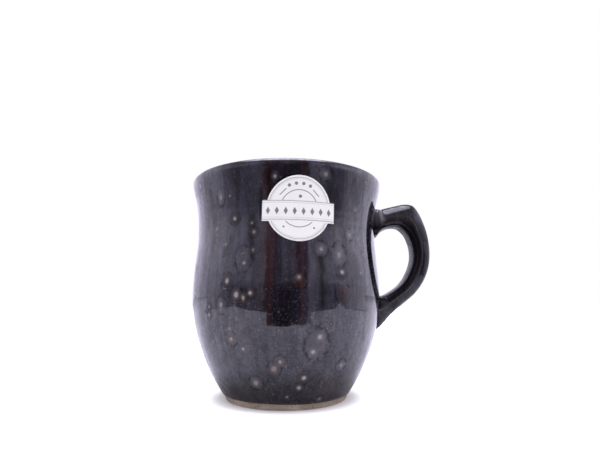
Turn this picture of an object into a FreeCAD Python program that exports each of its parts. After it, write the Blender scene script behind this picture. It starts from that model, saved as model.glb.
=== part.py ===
import FreeCAD, Part

import math
import os

from FreeCAD import Vector

# A hand-thrown stoneware mug. The axis is Z, the foot stands on Z = 0 and the handle
# points along +X. Radii marked "glazed" are measured over the glaze. All in mm.

# Thrown form
HEIGHT = 96.0               # glazed, foot to the top of the lip
FOOT_RADIUS = 26.6          # bare clay, where the foot meets the table
FOOT_LEAN = 0.45            # how far the foot's side leans out for each mm that it rises
HIP_RADIUS = 37.2           # glazed, where the base turns up into the wall
HIP_HEIGHT = 20.0
BELLY_RADIUS = 42.2         # glazed, widest part of the belly
BELLY_HEIGHT = 44.0
WAIST_RADIUS = 40.55        # glazed, narrowest part under the lip
WAIST_BELOW_LIP = 25.5      # waist to the top of the lip
FLARE_RADIUS = 41.7         # glazed, where the wall turns out towards the lip
FLARE_BELOW_LIP = 12.0
LIP_RADIUS = 43.9           # glazed, outermost part of the lip
LIP_ROUND = 2.15            # glazed, radius of the rounded lip
WALL = 3.5                  # clay of the wall
HIP_WALL = 5.2              # clay where the wall meets the floor
FLOOR = 5.4                 # clay of the floor, above the recess in the foot
FLOOR_RADIUS = 21.0         # inside, where the floor starts to rise
FLOOR_RISE = 1.9            # how far the inside has risen at that radius

# Turned foot
FOOT_RING_WIDTH = 4.6
FOOT_RECESS = 1.7           # depth of the hollow inside the ring
FOOT_EDGE = 0.5             # bevel on both edges of the ring

# Glaze
GLAZE = 0.45                # fired thickness
GLAZE_LINE = 2.6            # bare clay shows below this height

# Pulled handle, glazed
HANDLE_REACH = 26.7         # waist to the outermost part of the handle
HANDLE_DROP = 8.7           # top of the lip to the thumb rest
HANDLE_HEIGHT = 55.5        # thumb rest to the bottom of the tail
HANDLE_THICKNESS = 8.7      # in the plane of the handle, at the grip
HANDLE_WIDTH = 13.0         # across the handle, at the grip
HANDLE_ROUND = 4.2          # rounding of the strap's four long edges
MOST_ROUND = 0.47           # most that the rounding may take of the strap's thickness
ROOT_DEPTH = 2.5            # how far a pulled end starts inside the wall before it is cut to it
SLIP = 0.6                  # luting slip between a handle end and the wall

# Paper label on the wall, facing -Y and turned a little towards the handle
LABEL_DISC_RADIUS = 12.6
LABEL_BAND_LENGTH = 28.4
LABEL_BAND_HEIGHT = 8.0
LABEL_BAND_DROP = 1.0       # the band's centre below the disc's
LABEL_BELOW_LIP = 19.6      # centre of the label to the top of the lip
LABEL_TURN = 6.5            # degrees from -Y towards +X
LABEL_TILT = 1.0            # degrees, the band's +X end is lower
LABEL_THICKNESS = 0.2       # paper and its adhesive back

# Modelling precision
CURVE_SAMPLES = 20

# The handle's stations from the upper end to the lower one. Each has the place of its centre,
# as a share of the way from the wall to the middle of the grip and of the handle's height, the
# way the strap runs there in degrees from +X, and its thickness as a share of that at the grip.
HANDLE_STATIONS = (
    (0.126, 0.150, 8.0, 1.235),
    (0.321, 0.125, 8.0, 1.19),
    (0.534, 0.112, 2.0, 1.235),
    (0.704, 0.117, -20.0, 1.465),
    (0.853, 0.178, -38.0, 1.39),
    (0.944, 0.270, -60.0, 1.165),
    (1.000, 0.400, -88.0, 1.00),
    (0.958, 0.547, -104.0, 0.955),
    (0.774, 0.698, -128.0, 0.905),
    (0.477, 0.803, -142.0, 0.93),
    (0.223, 0.872, -148.0, 1.10),
)
UPPER_ROOT = (0.175, 10.0, 1.42)        # height share, direction, thickness
LOWER_ROOT = (0.925, -152.0, 1.33)

UP = Vector(0, 0, 1)
OUT = Vector(1, 0, 0)
ORIGIN = Vector(0, 0, 0)


def point(radius, height):
    """A point of the section in the XZ plane."""
    return Vector(radius, 0, height)


LIP_CENTRE = point(LIP_RADIUS - LIP_ROUND, HEIGHT - LIP_ROUND)


def spline(points, tangents):
    """A smooth curve through points. tangents maps a point's index to its direction."""
    curve = Part.BSplineCurve()
    directions = [tangents.get(i, UP) for i in range(len(points))]
    flags = [i in tangents for i in range(len(points))]
    curve.interpolate(Points=points, Tangents=directions, TangentFlags=flags, Scale=False)
    return curve


def offset(curve, distance):
    """The curve moved sideways, to the right of its direction as seen from -Y."""
    if distance == 0:
        return curve
    first, last = curve.FirstParameter, curve.LastParameter
    points = []
    for i in range(CURVE_SAMPLES + 1):
        at = first + (last - first) * i / CURVE_SAMPLES
        way = curve.tangent(at)[0]
        points.append(curve.value(at) + Vector(way.z, 0, -way.x) * distance)
    ends = {0: curve.tangent(first)[0], CURVE_SAMPLES: curve.tangent(last)[0]}
    return spline(points, ends)


def outside_curve():
    """The clay's outside, from the foot to where the lip starts to round over."""
    points = [
        point(FOOT_RADIUS, 0),
        point(HIP_RADIUS - GLAZE, HIP_HEIGHT),
        point(BELLY_RADIUS - GLAZE, BELLY_HEIGHT),
        point(WAIST_RADIUS - GLAZE, HEIGHT - WAIST_BELOW_LIP),
        point(FLARE_RADIUS - GLAZE, HEIGHT - FLARE_BELOW_LIP),
        point(LIP_RADIUS - GLAZE, LIP_CENTRE.z),
    ]
    lean = Vector(FOOT_LEAN, 0, 1).normalize()
    return spline(points, {0: lean, 2: UP, 3: UP, 5: UP})


def radius_at(curve, height):
    """The curve's radius at a height. The outside curve rises all the way."""
    low, high = curve.FirstParameter, curve.LastParameter
    for _ in range(50):
        middle = (low + high) / 2
        if curve.value(middle).z < height:
            low = middle
        else:
            high = middle
    return curve.value(low).x


OUTSIDE = outside_curve()
INNER_FLOOR = FOOT_RECESS + FLOOR


def inside_curve():
    """The clay's inside, from where the lip ends down to the middle of the floor."""
    waist = HEIGHT - WAIST_BELOW_LIP
    points = [
        point(LIP_CENTRE.x - LIP_ROUND + GLAZE, LIP_CENTRE.z),
        point(radius_at(OUTSIDE, waist) - WALL, waist),
        point(radius_at(OUTSIDE, BELLY_HEIGHT) - WALL, BELLY_HEIGHT),
        point(radius_at(OUTSIDE, HIP_HEIGHT) - HIP_WALL, HIP_HEIGHT),
        point(FLOOR_RADIUS, INNER_FLOOR + FLOOR_RISE),
        point(0, INNER_FLOOR),
    ]
    return spline(points, {0: -UP, 1: -UP, 2: -UP, 5: -OUT})


INSIDE = inside_curve()


def lip_arc(grow, outer):
    """A quarter of the rounded lip. grow is the distance outside the clay."""
    radius = LIP_ROUND - GLAZE + grow
    side = 1 if outer else -1
    half = radius * math.sqrt(0.5)
    start = LIP_CENTRE + Vector(side * radius, 0, 0)
    middle = LIP_CENTRE + Vector(side * half, 0, half)
    return Part.Arc(start, middle, LIP_CENTRE + UP * radius).toShape()


def line(a, b):
    """A straight edge."""
    return Part.LineSegment(a, b).toShape()


def turned(edges):
    """The solid that a closed section makes when it turns about the mug's axis."""
    wire = Part.Wire(Part.__sortEdges__(edges))
    return Part.Face(wire).revolve(ORIGIN, UP, 360)


def full_form(grow):
    """The outside of the mug as one filled solid, grow outside the clay."""
    curve = offset(OUTSIDE, grow)
    foot = curve.value(curve.FirstParameter)
    top = LIP_CENTRE + UP * (LIP_ROUND - GLAZE + grow)
    edges = [
        line(point(0, foot.z), foot),
        curve.toShape(),
        lip_arc(grow, True),
        line(top, point(0, top.z)),
        line(point(0, top.z), point(0, foot.z)),
    ]
    return turned(edges)


def clay_body():
    """The thrown wall, floor and lip, with the foot turned in its underside."""
    ring_inner = FOOT_RADIUS - FOOT_RING_WIDTH
    foot = OUTSIDE.value(OUTSIDE.FirstParameter)
    edges = [
        line(point(0, FOOT_RECESS), point(ring_inner - FOOT_RECESS, FOOT_RECESS)),
        line(point(ring_inner - FOOT_RECESS, FOOT_RECESS), point(ring_inner, 0)),
        line(point(ring_inner, 0), foot),
        OUTSIDE.toShape(),
        lip_arc(0, True),
        lip_arc(0, False),
        INSIDE.toShape(),
        line(point(0, INNER_FLOOR), point(0, FOOT_RECESS)),
    ]
    body = turned(edges)
    ring_edges = [e for e in body.Edges if on_table(e)]
    return body.makeChamfer(FOOT_EDGE, ring_edges)


def on_table(edge):
    """Is this one of the two circles where the foot ring meets the table?"""
    box = edge.BoundBox
    return box.ZMax < 1e-6 and box.XLength > FOOT_RADIUS


def outside_glaze(handle):
    """The coat on the outside, from the bare foot up to the top of the lip."""
    outer = offset(OUTSIDE, GLAZE)
    top = LIP_CENTRE + UP * (LIP_ROUND - GLAZE)
    edges = [
        OUTSIDE.toShape(),
        lip_arc(0, True),
        line(top, top + UP * GLAZE),
        lip_arc(GLAZE, True),
        outer.toShape(),
        line(outer.value(outer.FirstParameter), OUTSIDE.value(OUTSIDE.FirstParameter)),
    ]
    bare = Part.makeCylinder(BELLY_RADIUS + LIP_RADIUS, GLAZE_LINE + HEIGHT, point(0, -HEIGHT))
    return turned(edges).cut(bare).cut(handle)


def inside_glaze():
    """The liner coat, from the top of the lip down over the whole floor."""
    inner = offset(INSIDE, GLAZE)
    top = LIP_CENTRE + UP * (LIP_ROUND - GLAZE)
    edges = [
        lip_arc(0, False),
        INSIDE.toShape(),
        line(INSIDE.value(INSIDE.LastParameter), inner.value(inner.LastParameter)),
        inner.toShape(),
        lip_arc(GLAZE, False),
        line(top + UP * GLAZE, top),
    ]
    return turned(edges)


def handle_sides():
    """Points along the handle's outer and inner sides, from the upper root to the lower."""
    top = HEIGHT - HANDLE_DROP
    grip = WAIST_RADIUS + HANDLE_REACH - HANDLE_THICKNESS / 2

    def root(height_share, *rest):
        height = top - height_share * HANDLE_HEIGHT
        return (point(radius_at(OUTSIDE, height) - ROOT_DEPTH, height), *rest)

    def station(grip_share, height_share, *rest):
        height = top - height_share * HANDLE_HEIGHT
        wall = radius_at(OUTSIDE, height)
        return (point(wall + grip_share * (grip - wall), height), *rest)

    middle = [station(*shares) for shares in HANDLE_STATIONS]
    outer, inner = [], []
    for centre, degrees, thick in [root(*UPPER_ROOT), *middle, root(*LOWER_ROOT)]:
        turn = math.radians(degrees)
        half = Vector(-math.sin(turn), 0, math.cos(turn)) * (thick * HANDLE_THICKNESS / 2)
        outer.append(centre + half)
        inner.append(centre - half)
    return outer, inner


def handle_strap(shrink):
    """The pulled strap, with both ends inside the wall, shrink under the glaze."""
    outer, inner = handle_sides()
    outer = offset(spline(outer, {}), shrink)
    inner = offset(spline(inner, {}), -shrink)
    edges = [
        outer.toShape(),
        line(outer.value(outer.LastParameter), inner.value(inner.LastParameter)),
        inner.toShape(),
        line(inner.value(inner.FirstParameter), outer.value(outer.FirstParameter)),
    ]
    half_width = HANDLE_WIDTH / 2 - shrink
    face = Part.Face(Part.Wire(Part.__sortEdges__(edges)))
    face.translate(Vector(0, -half_width, 0))
    strap = face.extrude(Vector(0, 2 * half_width, 0))
    long_edges = [e for e in strap.Edges if is_long_side(e)]
    thinnest = min(share[-1] for share in HANDLE_STATIONS) * HANDLE_THICKNESS - 2 * shrink
    widest_round = MOST_ROUND * min(thinnest, 2 * half_width)
    return strap.makeFillet(min(HANDLE_ROUND - shrink, widest_round), long_edges)


def is_long_side(edge):
    """Is this one of the four edges that run along the strap?"""
    box = edge.BoundBox
    return box.YLength < 1e-6 and edge.Length > HANDLE_HEIGHT / 2


def slip_pads(strap):
    """The two layers of luting slip, upper one first."""
    layer = strap.common(full_form(SLIP)).cut(full_form(0))
    return sorted(layer.Solids, key=lambda solid: -solid.CenterOfMass.z)


def paper_label():
    """A disc with a band across it, bent round the wall on top of the glaze."""
    reach = 2 * max(BELLY_RADIUS, WAIST_RADIUS, LIP_RADIUS)
    disc = Part.makeCylinder(LABEL_DISC_RADIUS, reach, ORIGIN, -Vector(0, 1, 0))
    band_base = -LABEL_BAND_HEIGHT / 2 - LABEL_BAND_DROP
    corner = Vector(-LABEL_BAND_LENGTH / 2, -reach, band_base)
    band = Part.makeBox(LABEL_BAND_LENGTH, reach, LABEL_BAND_HEIGHT, corner)
    outline = disc.fuse(band).removeSplitter()
    outline.rotate(ORIGIN, Vector(0, 1, 0), LABEL_TILT)
    outline.rotate(ORIGIN, UP, LABEL_TURN)
    outline.translate(UP * (HEIGHT - LABEL_BELOW_LIP))
    sheet = full_form(GLAZE + LABEL_THICKNESS).cut(full_form(GLAZE))
    return sheet.common(outline)


def single(shape):
    """The one solid of a shape, refused if there are more or fewer."""
    if len(shape.Solids) != 1:
        raise ValueError(f"expected one solid, found {len(shape.Solids)}")
    return shape.Solids[0]


def build():
    """Every piece of the mug, by the name of its node."""
    glazed_handle = handle_strap(0)
    strap = handle_strap(GLAZE)
    wall = full_form(0)
    upper, lower = slip_pads(strap)
    return {
        "clay_body": clay_body(),
        "handle": strap.cut(full_form(SLIP)),
        "upper_slip_joint": upper,
        "lower_slip_joint": lower,
        "outside_glaze": outside_glaze(glazed_handle),
        "inside_glaze": inside_glaze(),
        "handle_glaze": glazed_handle.cut(strap).cut(wall),
        "paper_label": paper_label(),
    }


os.makedirs("parts", exist_ok=True)
for name, shape in build().items():
    piece = single(shape)
    if not piece.isValid():
        raise ValueError(f"{name} isn't a valid solid")
    piece.exportStep(f"parts/{name}.step")
    box = piece.BoundBox
    print(f"{name}: {piece.Volume / 1000:.2f} cm3, Z {box.ZMin:.2f} to {box.ZMax:.2f}")
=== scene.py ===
"""A hand-thrown stoneware mug under a dark gloss glaze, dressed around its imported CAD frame."""

import logging
import math
import random
from dataclasses import dataclass
from enum import Enum
from typing import Iterable, Optional, Sequence

import bmesh
import bpy
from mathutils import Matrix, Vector, kdtree, noise


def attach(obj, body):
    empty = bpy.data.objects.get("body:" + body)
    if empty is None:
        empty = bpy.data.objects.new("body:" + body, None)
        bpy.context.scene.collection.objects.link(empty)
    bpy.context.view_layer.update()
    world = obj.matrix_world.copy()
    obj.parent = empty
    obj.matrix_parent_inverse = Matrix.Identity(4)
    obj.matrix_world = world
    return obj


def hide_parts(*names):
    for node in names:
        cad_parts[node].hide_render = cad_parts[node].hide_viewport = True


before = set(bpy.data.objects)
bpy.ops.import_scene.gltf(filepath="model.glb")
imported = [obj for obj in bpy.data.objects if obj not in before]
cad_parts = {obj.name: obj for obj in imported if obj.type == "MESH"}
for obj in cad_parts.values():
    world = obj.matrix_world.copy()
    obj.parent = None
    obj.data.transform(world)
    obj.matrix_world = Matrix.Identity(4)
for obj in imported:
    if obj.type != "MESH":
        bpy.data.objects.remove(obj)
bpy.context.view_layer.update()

LOG = logging.getLogger("ceramic_mug")
MM = 0.001
BODY = "root"
GLAZE = 0.45
FAR_MARK = (99.0, 99.0, 0.0, 0.0)
MARK_LAYERS = ("mark_a", "mark_b", "mark_c")
GLOW_LAYER = "mark_glow"

Pair = tuple[float, float]
Point = tuple[float, float, float]
Colour = tuple[float, float, float]


# ------------------------------------------------------------------ curves and surfaces


def smoothstep(low: float, high: float, value: float) -> float:
    """Ease from 0 at low to 1 at high.

    Args:
        low: The value that gives 0.
        high: The value that gives 1.
        value: The value to place between them.

    Returns:
        The eased share, from 0 to 1.
    """
    share = min(max((value - low) / (high - low), 0.0), 1.0)
    return share * share * (3.0 - 2.0 * share)


def through(points: Sequence[Pair], position: float) -> Pair:
    """Read a smooth curve that runs through its points.

    Args:
        points: The points, in order.
        position: Where to read, from 0 at the first point, a unit for each run.

    Returns:
        The point of the curve there.
    """
    last = len(points) - 1
    index = min(int(position), last - 1)
    t = position - index
    p0 = points[max(index - 1, 0)]
    p1 = points[index]
    p2 = points[index + 1]
    p3 = points[min(index + 2, last)]
    values = []
    for a, b, c, d in zip(p0, p1, p2, p3):
        bend = (2 * a - 5 * b + 4 * c - d) * t * t + (3 * b - a - 3 * c + d) * t * t * t
        values.append(0.5 * (2 * b + (c - a) * t + bend))
    return values[0], values[1]


def evenly(points: Sequence[Pair], spacing: float) -> list[Pair]:
    """Step along a smooth curve through points at an even spacing.

    Args:
        points: The points the curve runs through.
        spacing: The wanted distance between steps.

    Returns:
        The steps, with both ends of the curve among them.
    """
    fine = 24
    count = (len(points) - 1) * fine
    dense = [through(points, i / fine) for i in range(count + 1)]
    run = [0.0]
    for a, b in zip(dense, dense[1:]):
        run.append(run[-1] + math.dist(a, b))
    steps = max(round(run[-1] / spacing), 1)
    result = []
    cursor = 0
    for step in range(steps + 1):
        target = run[-1] * step / steps
        while cursor < len(run) - 2 and run[cursor + 1] < target:
            cursor += 1
        length = run[cursor + 1] - run[cursor]
        share = (target - run[cursor]) / length if length else 0.0
        a, b = dense[cursor], dense[cursor + 1]
        result.append((a[0] + (b[0] - a[0]) * share, a[1] + (b[1] - a[1]) * share))
    return result


def arc(centre: Pair, radius: float, start: float, end: float, steps: int) -> list[Pair]:
    """Lay points on an arc, in degrees from +X towards +Z.

    Args:
        centre: The centre of the arc.
        radius: Its radius.
        start: The angle of the first point.
        end: The angle of the last point.
        steps: How many runs the arc has.

    Returns:
        The points of the arc.
    """
    points = []
    for step in range(steps + 1):
        angle = math.radians(start + (end - start) * step / steps)
        points.append((centre[0] + radius * math.cos(angle), centre[1] + radius * math.sin(angle)))
    return points


def place_of(co: Vector) -> Point:
    """The azimuth in radians from -Y, the radius and the height in mm of a point in metres."""
    return math.atan2(co.x, -co.y), math.hypot(co.x, co.y) / MM, co.z / MM


def point_at(azimuth: float, radius: float, height: float) -> Vector:
    """The point in metres at an azimuth in radians from -Y, and a radius and height in mm."""
    return Vector((math.sin(azimuth) * radius, -math.cos(azimuth) * radius, height)) * MM


def turn_from(azimuth: float, other: float) -> float:
    """The shorter turn to an azimuth from another one, both in radians."""
    return (azimuth - other + math.pi) % math.tau - math.pi


class MarkKind(Enum):
    """How a gas bubble healed in the glaze."""

    PLAIN = 0.0
    MOATED = 0.35
    MILKY = 0.7
    BROWN = 1.0


PLAIN, MOATED, MILKY, BROWN = MarkKind


@dataclass
class Mark:
    """One healed bubble: a pale dot in a low round drop of glaze.

    Its azimuth is in degrees from -Y towards +X. Its height, dot, lens (the drop's radius) and
    rise are in millimetres, and glow is the dot's strength.
    """

    azimuth: float
    height: float
    dot: float = 1.0
    lens: float = 2.6
    kind: MarkKind = MOATED
    stretch: float = 1.0
    rise: float = 0.05
    glow: float = 0.8


@dataclass
class Run:
    """A thin dark line where melted glaze ran down, in degrees from -Y and millimetres."""

    azimuth: float
    top: float
    bottom: float
    width: float = 0.55


@dataclass
class MugForm:
    """The glazed outline of the mug in millimetres, and the small relief of its surface."""

    outside: tuple[Pair, ...] = (
        (2.6, 27.9), (6.0, 30.2), (12.0, 33.6), (20.0, 37.2), (28.0, 39.9), (36.0, 41.55),
        (44.0, 42.2), (52.0, 41.88), (60.0, 41.2), (68.0, 40.6), (76.0, 40.75), (84.0, 41.72),
        (90.0, 43.2), (93.85, 43.85),
    )
    inside: tuple[Pair, ...] = (
        (39.56, 93.85), (38.85, 90.0), (37.32, 84.0), (36.35, 76.0), (36.2, 68.0),
        (36.8, 60.0), (37.48, 52.0), (37.78, 44.0), (36.95, 36.0), (35.5, 30.0), (33.4, 24.0),
        (31.0, 19.6), (27.9, 15.6), (24.4, 12.1), (20.6, 9.6), (15.0, 8.15), (8.0, 7.65),
        (0.0, 7.55),
    )
    lip_height: float = 93.85
    lip_round: float = 2.15
    glaze_line: float = 2.55
    line_wave: float = 0.42
    foot_radius: float = 26.6
    recess: float = 1.7
    swell: float = 0.10
    ripple: float = 0.020
    ring_relief: float = 0.014
    ring_pitch: float = 3.4

    def radius(self, height: float) -> float:
        """The smooth outside radius of the glaze at a height.

        Args:
            height: The height in millimetres.

        Returns:
            The radius, in millimetres.
        """
        window = 1.2
        total = 0.0
        for shift in (-window, 0.0, window):
            total += self._raw_radius(height + shift)
        return total / 3.0

    def _raw_radius(self, height: float) -> float:
        """The outside radius straight from the knots, run on below them and held above them.

        Args:
            height: The height in millimetres.

        Returns:
            The radius, in millimetres.
        """
        knots = self.outside
        if height <= knots[0][0]:
            slope = (knots[1][1] - knots[0][1]) / (knots[1][0] - knots[0][0])
            return knots[0][1] + slope * (height - knots[0][0])
        if height >= knots[-1][0]:
            return knots[-1][1]
        index = 0
        while knots[index + 1][0] < height:
            index += 1
        low, high = knots[index], knots[index + 1]
        run = high[0] - low[0]
        t = (height - low[0]) / run
        start = self._slope(index) * run
        end = self._slope(index + 1) * run
        square, cube = t * t, t * t * t
        return (
            (2 * cube - 3 * square + 1) * low[1] + (cube - 2 * square + t) * start
            + (3 * square - 2 * cube) * high[1] + (cube - square) * end
        )

    def _slope(self, index: int) -> float:
        """The slope of the outline at one knot.

        Args:
            index: The number of the knot, from the foot up.

        Returns:
            How far the outline moves out for each millimetre up.
        """
        low = self.outside[max(index - 1, 0)]
        high = self.outside[min(index + 1, len(self.outside) - 1)]
        return (high[1] - low[1]) / (high[0] - low[0])

    def line_height(self, azimuth: float) -> float:
        """The height in mm at which the glaze stops above the bare foot.

        Args:
            azimuth: The angle in radians from -Y towards +X.

        Returns:
            The height, in millimetres.
        """
        wave = noise.noise(Vector((math.cos(azimuth) * 1.3, math.sin(azimuth) * 1.3, 5.0)))
        small = noise.noise(Vector((math.cos(azimuth) * 5.0, math.sin(azimuth) * 5.0, 9.0)))
        return self.glaze_line + self.line_wave * (wave + 0.35 * small)

    def relief(self, azimuth: float, height: float) -> float:
        """How far the glaze stands off its smooth outline, in millimetres.

        Args:
            azimuth: The angle in radians from -Y towards +X.
            height: The height in millimetres.

        Returns:
            The offset along the radius, which fades out at the lip.
        """
        around = Vector((math.sin(azimuth), -math.cos(azimuth), 0.0))
        wide = around * 1.7 + Vector((0.0, 0.0, height / 26.0))
        fine = around * 4.6 + Vector((3.0, 7.0, height / 11.0))
        swell = noise.noise(wide) * self.swell
        ripple = noise.noise(fine) * self.ripple
        phase = math.tau * (height + 0.8 * math.sin(azimuth)) / self.ring_pitch
        depth = 0.5 + noise.noise(around * 1.2 + Vector((0.0, 0.0, height / 15.0)))
        rings = math.sin(phase) * self.ring_relief * max(depth, 0.0)
        fade = 1.0 - smoothstep(84.0, 92.5, height)
        return (swell + ripple + rings) * fade

    def skin(self, azimuth: float, height: float, above: float = 0.0) -> Vector:
        """A point on or above the glaze.

        Args:
            azimuth: The angle in radians from -Y towards +X.
            height: The height in millimetres.
            above: How far off the glaze the point is, in millimetres.

        Returns:
            The point, in metres.
        """
        reach = self.radius(height) + self.relief(azimuth, height) + above
        return point_at(azimuth, reach, height)

    def on_glaze(self, radius: float, height: float) -> bool:
        """Whether a point of the outside coat lies on its face, not on its back."""
        return radius >= self.radius(height) - 0.3 * GLAZE

    def lip_arc(self, inset: float, start: float, end: float, steps: int) -> list[Pair]:
        """An arc round the lip, an inset inside its glaze."""
        middle = (self.radius(self.lip_height) - self.lip_round, self.lip_height)
        return arc(middle, self.lip_round - inset, start, end, steps)

    def behind_lining(self, spacing: float) -> list[Pair]:
        """Move the inside's outline into the clay by the glaze's thickness.

        Args:
            spacing: The wanted distance between steps.

        Returns:
            The moved outline, from the lip to the middle of the floor.
        """
        steps = evenly(self.inside, spacing)
        points = []
        for a, b in zip(steps, steps[1:]):
            run = math.dist(a, b)
            out = ((a[1] - b[1]) / run, (b[0] - a[0]) / run)
            points.append((max(b[0] + out[0] * GLAZE, 0.0), b[1] + out[1] * GLAZE))
        points[-1] = (0.0, self.inside[-1][1] - GLAZE)
        return points


# ------------------------------------------------------------------ mesh helpers


def close_and_face(bm: bmesh.types.BMesh) -> None:
    """Merge seams and poles, drop faces that lost their area and point every face outwards.

    Args:
        bm: The mesh. It is changed in place.
    """
    bmesh.ops.remove_doubles(bm, verts=bm.verts, dist=2e-6)
    bmesh.ops.dissolve_degenerate(bm, dist=1e-7, edges=bm.edges)
    bmesh.ops.recalc_face_normals(bm, faces=bm.faces)


def turned(profile: Sequence[Pair], steps: int) -> bmesh.types.BMesh:
    """Spin a closed outline in millimetres once round the mug's axis.

    Args:
        profile: The outline as radius and height, in order, not repeating its first point.
        steps: How many steps the turn has.

    Returns:
        A closed shell, in metres.
    """
    bm = bmesh.new()
    verts = [bm.verts.new((r * MM, 0.0, z * MM)) for r, z in profile]
    edges = [bm.edges.new(pair) for pair in zip(verts, verts[1:])]
    if min(profile[0][0], profile[-1][0]) > 1e-9:
        edges.append(bm.edges.new((verts[-1], verts[0])))
    bmesh.ops.spin(
        bm, geom=verts + edges, cent=(0, 0, 0), axis=(0, 0, 1), angle=math.tau, steps=steps,
        use_merge=True,
    )
    close_and_face(bm)
    return bm


def finish_piece(
    bm: bmesh.types.BMesh, name: str, material: bpy.types.Material,
    replaces: Iterable[str],
) -> bpy.types.Object:
    """Turn a bmesh into a smooth piece that rides on the mug and stands for its CAD nodes.

    Args:
        bm: The finished mesh. It is freed.
        name: The piece's name.
        material: Its finish.
        replaces: The CAD nodes that the piece stands for.

    Returns:
        The new object.
    """
    mesh = bpy.data.meshes.new(name)
    bm.to_mesh(mesh)
    bm.free()
    for polygon in mesh.polygons:
        polygon.use_smooth = True
    mesh.materials.append(material)
    piece = bpy.data.objects.new(name, mesh)
    bpy.context.scene.collection.objects.link(piece)
    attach(piece, BODY)
    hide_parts(*replaces)
    return piece


# ------------------------------------------------------------------ node helpers


Socket = bpy.types.NodeSocket


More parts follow.
